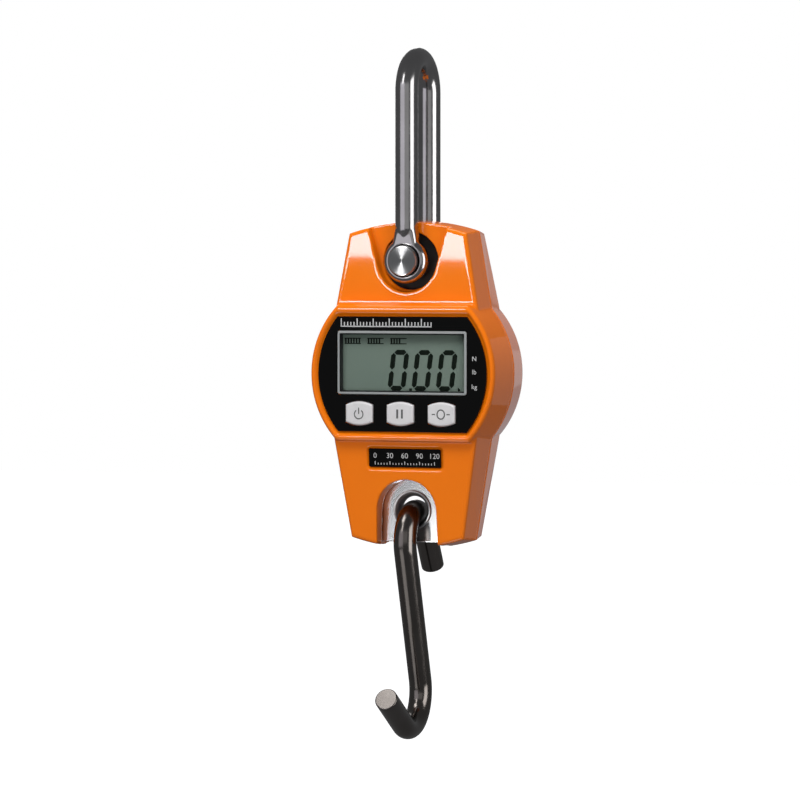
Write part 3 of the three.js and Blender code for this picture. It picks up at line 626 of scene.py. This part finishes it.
def body_section(grow):
    """The housing's outline behind its barrel, arched at the top and at the foot."""
    turn = [i / 16 for i in range(17)]
    foot, top = FOOT_HALF + grow, TOP_HALF + grow
    low, high = BODY_FOOT - grow, BODY_CORNER + grow
    bottom = [(foot * u, low + (1 - u * u) * (BODY_BOTTOM - BODY_FOOT)) for u in turn]
    crown = [(top * u, high + (1 - u * u) * (BODY_TOP - BODY_CORNER)) for u in reversed(turn)]
    waist = MIDDLE_HALF + grow
    lower, upper = BARREL - MIDDLE_REACH, BARREL + MIDDLE_REACH
    stops = [lower, BARREL - 0.01, BARREL + 0.01, upper]
    knee = between(foot, low, waist, lower, BARREL + BOSS_BOTTOM)
    shoulder = between(waist, upper, top, high, BARREL + BOSS_TOP)
    side = [(waist, z) for z in stops]
    return bottom + [(knee, BARREL + BOSS_BOTTOM)] + side + [(shoulder, BARREL + BOSS_TOP)] + crown


def barrel_section(grow, flat_grow=0.0):
    radius = BARREL_RADIUS + grow
    low = asin((BOSS_BOTTOM - flat_grow) / radius)
    high = asin((BOSS_TOP + flat_grow) / radius)
    turn = [low + (high - low) * i / 48 for i in range(49)]
    return [(radius * cos(a), BARREL + radius * sin(a)) for a in turn]


def pocket_section(grow):
    """The opening round the pin: a round floor, with straight sides that meet it on a tangent."""
    radius, mouth = 12.0 + grow, 15.6 + grow
    lean = acos(radius / hypot(mouth, BODY_CORNER)) - atan2(BODY_CORNER, mouth)
    top = BODY_TOP + 8
    turn = [-pi / 2 + (pi / 2 - lean) * i / 32 for i in range(33)]
    return [(max(radius * cos(a), 0), radius * sin(a)) for a in turn] + [
        (mouth + (top - BODY_CORNER) * tan(lean), top)
    ]


def arch_section(grow):
    """The arch at the foot that bares the eyelet."""
    radius = 12.0 + grow
    turn = [pi / 2 * i / 32 for i in range(33)]
    foot = (radius + 0.5, BODY_BOTTOM - 6)
    return [foot] + [(max(radius * cos(a), 0), EYE + radius * sin(a)) for a in turn]


PANEL_RADIUS, PANEL_TOP, PANEL_BOTTOM = 34.0, 21.8, -22.1


def panel_section(grow):
    """The black panel: a disc cut straight at the top and the bottom."""
    radius = PANEL_RADIUS + grow
    low = asin((PANEL_BOTTOM - grow) / radius)
    high = asin((PANEL_TOP + grow) / radius)
    turn = [low + (high - low) * i / 40 for i in range(41)]
    return [(radius * cos(a), BARREL + radius * sin(a)) for a in turn]


WINDOW_Z, WINDOW_HALF, WINDOW_RISE = BARREL + 4.2, 26.1, 12.1
window_section = rounded_box(WINDOW_HALF, WINDOW_Z - WINDOW_RISE, WINDOW_Z + WINDOW_RISE, 1.0)
KEY_Z = BARREL - 15.2
KEY_X = [-17.1, -0.5, 16.1]


def key_section(grow):
    """A key with straight sides and a bowed top and bottom."""
    half, side, peak = 5.45 + grow, 3.3 + grow, 4.6 + grow
    turn = [i / 12 for i in range(13)]
    bottom = [(half * u, KEY_Z - side - (1 - u * u) * (peak - side)) for u in turn]
    top = [(half * u, KEY_Z + side + (1 - u * u) * (peak - side)) for u in reversed(turn)]
    return bottom + top


# ---------- shackle ----------

WIRE_RADIUS = 4.4
LEG_Y = 12.8
CROWN = 72.9
EYE_RADIUS, EYE_HALF, EYE_ROUND = 8.7, 3.5, 2.4
PIN_BORE = 4.3


def eye_section(grow):
    """A forged eye that flares out from the bar's foot."""
    radius, flare, neck, neck_top = EYE_RADIUS + grow, 0.62, 2.6 + grow, 17.0
    turn = [-pi / 2 + (pi - flare) * i / 40 for i in range(41)]
    side, height = radius * sin(flare), radius * cos(flare)
    round_part = [(max(radius * cos(a), 0), radius * sin(a)) for a in turn]
    rise = [i / 8 for i in range(1, 9)]
    bend_z = height + 4
    return round_part + [
        (
            side * (1 - t) ** 2 + (neck + 2) * 2 * t * (1 - t) + neck * t * t,
            height * (1 - t) ** 2 + bend_z * 2 * t * (1 - t) + neck_top * t * t,
        )
        for t in rise
    ]


def bar_taper(point):
    """The forged bar thins from full size at the neck to less than the eye's thickness."""
    share = min(max((point.z - 6) / 7, 0), 1)
    return 0.7 + 0.3 * share * share * (3 - 2 * share)


def shackle_bow():
    shoulder = CROWN + WIRE_RADIUS - LEG_Y
    foot = 6.0
    bend = [pi - pi * i / 64 for i in range(65)]
    path = [(-LEG_Y, foot + (shoulder - foot) * i / 20) for i in range(20)]
    path += [(LEG_Y * cos(a), shoulder + LEG_Y * sin(a)) for a in bend]
    path += [(LEG_Y, shoulder - (shoulder - foot) * i / 20) for i in range(1, 21)]
    bow = bar("shackle_bow_forging", path, WIRE_RADIUS, 0.6, thin=bar_taper)
    for y in (-LEG_Y, LEG_Y):
        levels = rounded_levels(y - EYE_HALF, y + EYE_HALF, EYE_ROUND, EYE_ROUND)
        join(bow, slab("eye", eye_section, levels))
    bore = slab("bore", disc(PIN_BORE), THROUGH)
    head_seat = slab("spot", disc(6.25), [(-20, 0), (-LEG_Y - EYE_HALF + 1, 0)])
    cut(bow, bore, head_seat)
    soften(bow, 0.3, 10)
    return settle(bow, "shackle", "dark_steel", "shackle_bow")


def shackle_pin():
    """A pin with a slightly dished head in front and a chamfered end behind."""
    head, stem, back, front, end = 5.65, 4.0, -15.6, -18.8, 22.5
    dish = [(0, front + 0.12), (1.2, front + 0.05), (4.4, front)]
    profile = dish + [(head, front), (head, back), (stem, back)]
    profile += [(stem, end - 0.8), (stem - 0.8, end), (0, end)]
    pin = lathe("shackle_pin_turned", filleted(profile, 0.45))
    smooth(pin)
    return settle(pin, "shackle", "turned_steel", "shackle_pin", axis_z=0)


def spacers():
    rim, chamfer = 7, 0.2
    for name, y0, y1 in (("front_spacer", -9.0, -6.3), ("rear_spacer", 6.3, 9.0)):
        outside = [(rim - chamfer, y0), (rim, y0 + chamfer), (rim, y1 - chamfer), (rim - chamfer, y1)]
        ring = lathe(name + "_ring", [(PIN_BORE, y0)] + outside + [(PIN_BORE, y1)])
        smooth(ring)
        settle(ring, "shackle", "black_plastic", name)


# ---------- hook and eyelet ----------

LUG_Y = -3.0
HOOK_BEND, TIP_BEND = 11.6, 13.2
SHANK_LEAN, REAR_LEAN, TIP_RISE = radians(18.2), radians(31), radians(32)
SHANK, REAR_LEG, TIP = 52.9, 20.0, 22.0
EYELET_BORE, HOOK_CLEARANCE = 5.2, 0.3


def along(angle, length):
    return Vector((length * cos(angle), length * sin(angle)))


def arc(middle, radius, start, end, steps):
    return [middle + along(start + (end - start) * i / steps, radius) for i in range(steps + 1)]


def straight(start, end, steps):
    return [start.lerp(end, i / steps) for i in range(1, steps)]


def hook():
    bend_z = EYE - EYELET_BORE + HOOK_CLEARANCE + WIRE_RADIUS - HOOK_BEND
    top = arc(Vector((LUG_Y, bend_z)), HOOK_BEND, REAR_LEAN, pi + SHANK_LEAN, 56)
    rear_end = top[0] + along(REAR_LEAN - pi / 2, REAR_LEG)
    foot_start = top[-1] + along(SHANK_LEAN - pi / 2, SHANK)
    lower = foot_start - along(SHANK_LEAN, TIP_BEND)
    foot = arc(lower, TIP_BEND, SHANK_LEAN, -pi / 2 - TIP_RISE, 48)
    tip_end = foot[-1] + along(pi - TIP_RISE, TIP)
    path = [rear_end] + straight(rear_end, top[0], 10) + top + straight(top[-1], foot_start, 16)
    path += foot + straight(foot[-1], tip_end, 10) + [tip_end]
    wire = bar("s_hook_bar", path, WIRE_RADIUS, 0.5, 64)
    smooth(wire)
    # Its darker steel is painted shade.
    return settle(wire, "hook", "hook_steel", "s_hook")


def eyelet():
    """A ring with a bell mouth to both sides, swaged over the lug."""
    reach, flare, flange, neck = 3.8, 1.7, 7.6, 6.3
    mouth = (reach * reach + flare * flare) / (2 * flare)
    steps = 24
    bore = [reach - 2 * reach * i / steps for i in range(steps + 1)]
    inside = [(EYELET_BORE + mouth - sqrt(mouth * mouth - y * y), LUG_Y + y) for y in bore]
    lip = 3.15
    outside = [(flange - 0.25, -reach), (flange, -reach + 0.25), (flange, -lip), (neck, -lip)]
    outside += [(radius, -y) for radius, y in reversed(outside)]
    ring = lathe("hook_eyelet_ring", inside + [(radius, LUG_Y + y) for radius, y in outside], 0, EYE)
    smooth(ring)
    return settle(ring, "eyelet", "turned_steel", "hook_eyelet", axis_z=EYE)


# ---------- housing ----------

WALL, RIB = 2.2, 1.6
POCKET_FLOOR, INNER_FLOOR = 8.0, 6.4
PARTING = 0.15
GAP = 0.3
SHELL_VOXEL = 0.4
HALVES = {
    "front": dict(side=-1, draft=1.7, depths=(12.3, 13.7, 15.6, 12.6), face_wall=3.2, arch_inner=6.4),
    "rear": dict(side=1, draft=2.3, depths=(10.0, 13.5, 13.5, 10.0), face_wall=2.6, arch_inner=0.4),
}
SCREW_BORE, SCREW_BOSS = 1.6, 3
EYE_CLEARING = 11
SHELL_SCREWS = [(-20.0, 4.0), (20.0, 4.0), (-18.2, EYE - 3.5), (18.2, EYE - 3.5)]


def face_depth(depths, z):
    """Distance of the sloping face from the parting plane at a height."""
    at_top, above, below, at_foot = depths
    boss_top, boss_bottom = BARREL + BOSS_TOP, BARREL + BOSS_BOTTOM
    if z >= BARREL:
        return between(above, boss_top, at_top, BODY_CORNER, max(boss_top, min(z, BODY_CORNER)))
    return between(below, boss_bottom, at_foot, BODY_FOOT, min(boss_bottom, max(z, BODY_FOOT)))


def body_solid(name, side, depths, inset, edge):
    """The housing behind the barrel: drafted sides, and faces that slope above and below it."""
    turn = [i / 5 * pi / 2 for i in range(6)]
    levels = [(None, inset)] + [(edge * (1 - sin(a)), inset + 1 + edge * (1 - cos(a))) for a in turn]
    rings = []
    for back, shrink in levels:
        ring = []
        for half, z in body_section(-shrink):
            depth = PARTING if back is None else face_depth(depths, z) - inset - back
            ring.append((half, side * depth, z))
        rings.append(ring)
    return ladder(name, rings)


def barrel_solid(name, side, draft, inset, edge):
    """The round middle of the housing, cut straight at the top and the bottom."""
    face = BARREL_DEPTH - inset
    turn = [i / 6 * pi / 2 for i in range(7)]
    levels = [(PARTING, -inset, -inset)]
    levels += [
        (face - edge * (1 - sin(a)), -inset - draft - edge * (1 - cos(a)), -inset - edge * (1 - cos(a)))
        for a in turn
    ]
    rings = [[(half, side * y, z) for half, z in barrel_section(grow, flat)] for y, grow, flat in levels]
    return ladder(name, rings)


def tool(section, side, near, far, grow=0.0, far_grow=None, x=0.0):
    """A straight or tapering cutter from near to far, both measured from the parting plane.
    A near of -1 starts it just past that plane."""
    end = grow if far_grow is None else far_grow
    return slab("tool", section, [(side * near, grow), (side * far, end)], x)


def half_housing(which, name):
    """One casting: its outside, less its inside, the pocket for the pin and the arch."""
    side, draft, depths, face_wall, arch_inner = HALVES[which].values()
    shell = join(
        body_solid(name, side, depths, 0, 1.2),
        barrel_solid("barrel", side, draft, 0, 1.6),
    )
    hollow = join(
        body_solid("hollow", side, depths, WALL, 0.5),
        barrel_solid("hollow", side, draft, WALL, 0.5),
    )
    cut(
        hollow,
        tool(pocket_section, side, INNER_FLOOR, FAR, RIB),
        tool(arch_section, side, arch_inner, FAR, RIB),
        tool(rounded_box(40, BARREL - 24, BARREL + 24, 1), side, BARREL_DEPTH - face_wall, FAR),
        *[tool(disc(SCREW_BOSS, z, 24), side, 0, FAR, x=x) for x, z in SHELL_SCREWS],
    )
    cut(
        shell,
        hollow,
        tool(pocket_section, side, POCKET_FLOOR, FAR),
        tool(disc(EYE_CLEARING), side, -1, FAR),
        tool(arch_section, side, -1, FAR),
        tool(rounded_box(13.4, BODY_BOTTOM - 2, EYE, 0.5), side, -1, INNER_FLOOR),
    )
    return shell


PANEL_FLOOR = 17.3
FACE_INSIDE = 14.6
RIM_CHAMFER = 1.5
LABEL_Z = BARREL - 32.2
LABEL_HALF, LABEL_RISE = 14.55, 3.55
LABEL_SLOPE = atan2(3.0, 38.2)
label_section = rounded_box(LABEL_HALF, LABEL_Z - LABEL_RISE, LABEL_Z + LABEL_RISE, 0.6)


def label_y(z, below=0.0):
    """Y of the front's sloping face at a height, or of a plane below that face."""
    return -(face_depth(HALVES["front"]["depths"], z) - below)


def sloped(section, levels):
    """Rings of a section that lie parallel to the sloping face, each so far below it."""
    return [[(half, label_y(z, below), z) for half, z in section(grow)] for below, grow in levels]


def front_shell():
    shell = half_housing("front", "front_shell_casting")
    levels = [(-PANEL_FLOOR, GAP), (-BARREL_DEPTH, RIM_CHAMFER + GAP), (-22, 5.5)]
    recess = slab("recess", panel_section, levels)
    label_recess = ladder("label_recess", sloped(label_section, [(1.0, GAP), (0, 1.1), (-2, 3.1)]))
    cut(shell, recess, label_recess, tool(window_section, -1, FACE_INSIDE, FAR, GAP))
    cut(shell, *[tool(key_section, -1, FACE_INSIDE, FAR, GAP, x=x) for x in KEY_X])
    soften(shell, SHELL_VOXEL)
    return settle(shell, "housing", "paint", "front_shell")


COVER_LOW, COVER_HIGH, COVER_HALF = BARREL - 24.2, BARREL + 20.0, 27.5
COVER_SCREW_Z = BARREL - 21.3
COVER_INNER, COVER_OUTER = 17.2, 18.5
REBATE_FLOOR, HATCH_INSIDE, SCREW_SEAT = 16.9, 15.4, 7.5
HATCH_HALF, HATCH_RISE = 25.5, 18.2
cover_section = rounded_box(COVER_HALF, COVER_LOW, COVER_HIGH, 2.7)


def rear_shell():
    shell = half_housing("rear", "rear_shell_casting")
    rebate = tool(cover_section, 1, REBATE_FLOOR, FAR, GAP, 1.2)
    hatch_section = rounded_box(HATCH_HALF, BARREL - HATCH_RISE, BARREL + HATCH_RISE, 1)
    hatch = tool(hatch_section, 1, HATCH_INSIDE, FAR, GAP)
    cut(shell, rebate, hatch, tool(disc(SCREW_BORE, COVER_SCREW_Z, 24), 1, 11, FAR))
    for x, z in SHELL_SCREWS:
        bore = tool(disc(SCREW_BORE, z, 24), 1, -1, FAR, x=x)
        head_seat = tool(disc(2.9, z, 32), 1, SCREW_SEAT, FAR, x=x)
        cut(shell, bore, head_seat)
    soften(shell, SHELL_VOXEL)
    return settle(shell, "housing", "paint", "rear_shell")


# ---------- load cell ----------

def cell_section(grow):
    """A bar with a square foot and a head that narrows in curves to its crown."""
    half, foot, shoulder, crown = 13.0 + grow, EYE - 12.3 - grow, -2.0, 12.5 + grow
    cap = 6
    steps = [i / 10 for i in range(11)]
    head = [
        (
            half * (1 - t) ** 2 + half * 2 * t * (1 - t) + cap * t * t,
            shoulder * (1 - t) ** 2 + (crown - 4) * 2 * t * (1 - t) + (crown - 1) * t * t,
        )
        for t in steps
    ]
    top = [
        (cap * (1 - t), (crown - 1) * (1 - t * t) + crown * t * t + 2 * t * (1 - t) * 0.5)
        for t in steps[1:]
    ]
    return [(half, foot)] + head + top


# Above this height the load cell is near black: painted shade for the shadowed hole round the pin.
PAINTED_SHADE_ABOVE = -20


def load_cell():
    cell = slab("load_cell_block", cell_section, rounded_levels(-6, 6, 0.4, 0.4, 3))
    cut(
        cell,
        slab("back", rounded_box(FAR, -80.1, -14, 0.1, 1), [(2, 0), (FAR, 0)]),
        slab("lug_back", rounded_box(FAR, -140, -80, 0.1, 1), [(0, 0), (FAR, 0)]),
        slab("gauge_window", rounded_box(9.4, BARREL - 12, BARREL + 12, 5), THROUGH),
        slab("pin_bore", disc(PIN_BORE), THROUGH),
        slab("eyelet_bore", disc(6.5, EYE), THROUGH),
        slab("upper_screw_bore", disc(SCREW_BORE, BARREL + 22.8, 24), THROUGH),
        slab("lower_screw_bore", disc(SCREW_BORE, BARREL - 30, 24), THROUGH),
    )
    split_level(cell, PAINTED_SHADE_ABOVE)
    smooth(cell, CRISP)
    settle(cell, "housing", "satin_aluminium", "load_cell")
    # Faces above that level get the near-black steel, as painted shade.
    second_finish(cell, MATERIALS["blackened"], lambda middle: middle.z > PIN_Z + PAINTED_SHADE_ABOVE * MM)
    return cell


# ---------- display and keys ----------

PANEL_FRONT_Y = -18.4
LCD_Y = -15.3


def face_panel():
    panel = slab("face_panel_sheet", panel_section, rounded_levels(PANEL_FRONT_Y, -17.6, 0.2, 0, 3))
    opening = [(-FAR, GAP), (0, GAP)]
    cut(panel, slab("window", window_section, opening))
    cut(panel, *[slab("key_hole", key_section, opening, x) for x in KEY_X])
    smooth(panel, CRISP)
    settle(panel, "housing", "gloss_black", "face_panel")


def bezel():
    frame_piece = slab("lcd_bezel_frame", window_section, rounded_levels(-18.55, -16, 0.3, 0, 3))
    opening = [(-FAR, -0.9), (-18.5, -0.9), (-17.4, -1.4), (0, -1.4)]
    cut(frame_piece, slab("opening", window_section, opening))
    smooth(frame_piece, CRISP)
    settle(frame_piece, "housing", "grey_plastic", "lcd_bezel")
    # The inner walls behind the bezel's front are black: painted shade inside the display's window.
    second_finish(frame_piece, MATERIALS["black_plastic"], lambda middle: middle.y > -18.2 * MM)
    lens = slab("display_window_lens", window_section, rounded_levels(-17.9, -17.2, 0.1, 0.1, 2))
    inset = 1.5
    for vertex in lens.data.vertices:
        vertex.co.x *= 1 - inset / WINDOW_HALF
        vertex.co.z = WINDOW_Z + (vertex.co.z - WINDOW_Z) * (1 - inset / WINDOW_RISE)
    smooth(lens, CRISP)
    settle(lens, "housing", "lens", "display_window")


KEY_FRONT, KEY_FLANGE, KEY_BACK = -19.3, -15.3, -14.5
FLANGE_RIM = 0.8
KEY_BODIES = ("power", "hold", "tare")


def keys():
    for name, x in zip(KEY_BODIES, KEY_X):
        levels = rounded_levels(KEY_FRONT, KEY_FLANGE, 0.75, 0, 5)
        levels += [(KEY_FLANGE, FLANGE_RIM), (KEY_BACK, FLANGE_RIM)]
        cap = slab(name + "_key_cap", key_section, levels, x)
        smooth(cap, CRISP)
        settle(cap, name + "_key", "white_plastic", name + "_button")


# ---------- flat printed shapes, as thin geometry ----------

def sticker(name, outlines, y, thickness=0.05):
    """Thin plates lying at a height y. Each outline lists (x, z) points round a convex shape."""
    verts, faces = [], []
    for outline in outlines:
        start, count = len(verts), len(outline)
        verts += [(x, y, z) for x, z in outline] + [(x, y - thickness, z) for x, z in outline]
        faces.append([start + i for i in range(count)])
        faces.append([start + count + i for i in range(count)])
        for i in range(count):
            j = (i + 1) % count
            faces.append([start + i, start + j, start + count + j, start + count + i])
    return mesh_object(name, verts, faces)


def stroke(x0, z0, x1, z1, width):
    """A straight stroke with square ends."""
    run = Vector((x1 - x0, z1 - z0))
    side = Vector((-run.y, run.x)).normalized() * width / 2
    return [
        (x0 + side.x, z0 + side.y), (x0 - side.x, z0 - side.y),
        (x1 - side.x, z1 - side.y), (x1 + side.x, z1 + side.y),
    ]


def ring_strokes(x, z, radius, width, start=0.0, end=2 * pi, steps=20, tall=1.0):
    angles = [start + (end - start) * i / steps for i in range(steps + 1)]
    return [
        stroke(
            x + radius * cos(a), z + radius * tall * sin(a),
            x + radius * cos(b), z + radius * tall * sin(b), width,
        )
        for a, b in zip(angles, angles[1:])
    ]


def lit_bar(reach, slim, level):
    """A bar pointed at both ends, lying where it is level and standing where it isn't."""
    blunt = reach - slim
    lying = [(-reach, 0), (-blunt, -slim), (blunt, -slim), (reach, 0), (blunt, slim), (-blunt, slim)]
    return lying if level else [(-z, x) for x, z in lying]


def seven_segments(x, z, width, height, thick, lean, lit="abcdef"):
    """The lit bars of one leaning digit, centred on (x, z)."""
    gap = 0.22
    reach, mid = width / 2 - thick / 2, height / 4
    slim = thick / 2
    bars = {
        "a": (0, 2 * mid - slim, True), "g": (0, 0, True), "d": (0, -2 * mid + slim, True),
        "f": (-reach, mid - slim / 2, False), "b": (reach, mid - slim / 2, False),
        "e": (-reach, -mid + slim / 2, False), "c": (reach, -mid + slim / 2, False),
    }
    outlines = []
    for letter in lit:
        cx, cz, level = bars[letter]
        points = lit_bar(reach - gap if level else mid - gap - slim / 2, slim, level)
        outlines.append([(x + cx + px + (cz + pz) * tan(lean), z + cz + pz) for px, pz in points])
    return outlines


def segment_display():
    """The lit figures of the display: three leaning noughts, a point and small marks."""
    lean = radians(7)
    outlines = []
    for x in (-2.4, 7.3, 17.1):
        outlines += seven_segments(x, BARREL + 1.3, 7.2, 15.6, 1.9, lean)
    outlines.append(stroke(2.0, BARREL - 6.1, 3.1, BARREL - 6.1, 1.1))
    for i in range(3):
        left = -24.3 + i * 9.3
        outlines += [stroke(left, z, left + 6.6, z, 0.35) for z in (BARREL + 13.4, BARREL + 11.4)]
        outlines += [
            stroke(left + 1.1 * k + 0.5, BARREL + 11.6, left + 1.1 * k + 0.5, BARREL + 13.2, 0.6)
            for k in range(6 - i)
        ]
    outlines.append([(21.6, BARREL - 5.0), (22.7, BARREL - 6.0), (21.6, BARREL - 7.0)])
    figures = sticker("lcd_figures", outlines, LCD_Y - 0.03, 0.06)
    settle(figures, "housing", "segment")


def number_mesh(name, text, x, z, size, y, slope=0.0):
    """A short number or sign as thin geometry standing on the plane y."""
    curve = bpy.data.curves.new(name, "FONT")
    curve.body = text
    curve.size = size
    curve.align_x = "CENTER"
    curve.align_y = "CENTER"
    curve.extrude = 0.02
    curve.resolution_u = 3
    source = bpy.data.objects.new(name, curve)
    bpy.context.scene.collection.objects.link(source)
    graph = bpy.context.evaluated_depsgraph_get()
    mesh = bpy.data.meshes.new_from_object(source.evaluated_get(graph))
    bpy.data.objects.remove(source)
    mesh.transform(Matrix.Translation((x, y, z)) @ Matrix.Rotation(pi / 2 + slope, 4, "X"))
    obj = bpy.data.objects.new(name, mesh)
    bpy.context.scene.collection.objects.link(obj)
    return obj


def panel_print():
    """A graduated rule above the display and the unit signs beside it."""
    rule_z, left, pitch = BARREL + 18.0, -24.5, 1.3
    ticks = []
    for i in range(29):
        tall = 3.0 if i % 5 == 0 else 1.7
        x = left + pitch * i
        ticks.append(stroke(x, rule_z, x, rule_z + tall, 0.42))
    ticks.append(stroke(left - 0.2, rule_z, left + pitch * 28 + 0.2, rule_z, 0.4))
    rule = sticker("panel_rule", ticks, PANEL_FRONT_Y - 0.01)
    settle(rule, "housing", "white_ink")
    for name, sign, z in (("unit_top", "N", 5.9), ("unit_middle", "lb", 0.9), ("unit_bottom", "kg", -4.7)):
        mark = number_mesh(name, sign, 29.2, BARREL + z, 2.5, PANEL_FRONT_Y - 0.03)
        settle(mark, "housing", "white_ink")


def key_prints():
    """A standby sign, two pause bars and a ring between two dashes, one on each key."""
    y = KEY_FRONT - 0.01
    power_x, hold_x, tare_x = KEY_X
    standby = ring_strokes(power_x, KEY_Z - 0.3, 1.75, 0.42, radians(125), radians(415), 22)
    standby.append(stroke(power_x, KEY_Z - 0.2, power_x, KEY_Z + 2.2, 0.42))
    pause = [stroke(hold_x + dx, KEY_Z - 1.7, hold_x + dx, KEY_Z + 1.7, 0.75) for dx in (-0.95, 0.95)]
    nought = ring_strokes(tare_x, KEY_Z, 1.5, 0.45, steps=24, tall=1.15)
    nought.append(stroke(tare_x - 3.6, KEY_Z, tare_x - 2.3, KEY_Z, 0.42))
    nought.append(stroke(tare_x + 2.3, KEY_Z, tare_x + 3.6, KEY_Z, 0.42))
    for body, outlines in zip(KEY_BODIES, (standby, pause, nought)):
        mark = sticker(body + "_key_mark", outlines, y, 0.04)
        settle(mark, body + "_key", "ink")


def capacity_label():
    """A black plate in a recess of the sloping face, with a plain numbered scale."""
    levels = [(0.7, 0), (0.2, 0), (0.12, -0.08)]
    plate = ladder("capacity_plate", sloped(label_section, levels))
    smooth(plate, CRISP)
    settle(plate, "housing", "gloss_black", "capacity_label")
    ticks = []
    left = -12
    for i in range(21):
        x = left + 1.2 * i
        tall = 1.3 if i % 5 == 0 else 0.7
        ticks.append(stroke(x, LABEL_Z - 2.6, x, LABEL_Z - 2.6 + tall, 0.28))
    scale = sticker("capacity_ticks", ticks, 0, 0.04)
    for vertex in scale.data.vertices:
        vertex.co.y += label_y(vertex.co.z, 0.11)
    settle(scale, "housing", "white_ink")
    z = LABEL_Z + 0.8
    y = label_y(z, 0.09)
    for i, sign in enumerate(("0", "30", "60", "90", "120")):
        name = f"capacity_number_{i + 1}"
        number = number_mesh(name, sign, left + 6 * i, z, 2.9, y, LABEL_SLOPE)
        settle(number, "housing", "white_ink")


# ---------- rear pieces and carried-over nodes ----------

def screw(name, x, z, seat, end, tip, head, shank, round_edge):
    """A screw along Y with a cross slot: head and shank are radii, the rest places along Y."""
    profile = [(0, tip), (shank, tip), (shank, seat), (head, seat), (head, end), (0, end)]
    piece = lathe(name, filleted(profile, round_edge, 5), x, z, 48)
    deep, arm, slim = 0.55 * (end - seat), head * 0.6, 0.28
    for width, height in ((arm, slim), (slim, arm)):
        section = rounded_box(width, z - height, z + height, 0.1, 3)
        cut(piece, slab("slot", section, [(end - deep, 0), (end + 1, 0)], x))
    return smooth(piece, CRISP)


def screws():
    for i, (x, z) in enumerate(SHELL_SCREWS):
        name = f"shell_screw_{i + 1}"
        piece = screw(name + "_head", x, z, 7.8, 9.6, -9, 2.6, 1.3, 0.7)
        settle(piece, "housing", "zinc_steel", name)
    seat = 17.8
    piece = screw("cover_screw_head", 0, COVER_SCREW_Z, seat, seat + 0.6, 12, 2.1, 1.3, 0.3)
    settle(piece, "cover_bolt", "zinc_steel", "cover_screw")


def battery_cover():
    cover = slab("battery_cover_plate", cover_section, rounded_levels(COVER_INNER, COVER_OUTER, 0, 0.5, 4))
    cut(cover, slab("bore", disc(SCREW_BORE, COVER_SCREW_Z, 32), [(0, 0), (FAR, 0)]))
    cut(cover, slab("sink", disc(2.4, COVER_SCREW_Z, 32), [(17.75, 0), (18.3, 0), (19, 0.7)]))
    for i in range(3):
        below = 1.6 * i
        groove = rounded_box(7, COVER_HIGH - 3.6 - below, COVER_HIGH - 2.8 - below, 0.4)
        cut(cover, slab("grip", groove, [(18.2, -0.1), (19, 0.2)]))
    smooth(cover, CRISP)
    settle(cover, "cover", "paint", "battery_cover")


TRIPLE = (1, 2, 3)
NODE_FINISHES = {
    "zinc_steel": ["pin_nut", "cell_screw_1", "cell_screw_2", "board_screw_1", "board_screw_2"],
    "gauge": ["strain_gauge_left", "strain_gauge_right"],
    "lcd": ["lcd_glass"],
    "white_plastic": ["backlight"],
    "board": ["main_board"],
    "black_plastic": ["adc_chip", "battery_tray"] + [f"key_switch_{i}" for i in TRIPLE],
    "battery": [f"battery_{i}" for i in TRIPLE],
    "spring_metal": ["contact_plate_left", "contact_plate_right"]
    + [f"battery_spring_{i}" for i in TRIPLE],
    "lead": ["cell_lead", "battery_lead"],
}
WIRES = ("battery_spring", "cell_lead", "battery_lead")


def bevel_edges(node):
    bevel = node.modifiers.new("edges", "BEVEL")
    bevel.width = 0.15 * MM
    bevel.segments = 2
    bevel.limit_method = "ANGLE"
    bevel.harden_normals = True


def finish_nodes():
    """CAD nodes that stay get their material and, springs and leads apart, finely bevelled edges."""
    for finish, names in NODE_FINISHES.items():
        for name in names:
            node = NODES[name]
            node.data.materials.clear()
            node.data.materials.append(MATERIALS[finish])
            if not name.startswith(WIRES):
                bevel_edges(node)


def main():
    add_camera()
    add_world()
    add_stage()
    bow = shackle_bow()
    pin = shackle_pin()
    spacers()
    hook_bar = hook()
    ring = eyelet()
    shells = front_shell(), rear_shell()
    cell = load_cell()
    add_lights(bow, pin, hook_bar, ring, shells, cell)
    face_panel()
    bezel()
    keys()
    segment_display()
    panel_print()
    key_prints()
    capacity_label()
    screws()
    battery_cover()
    finish_nodes()


main()
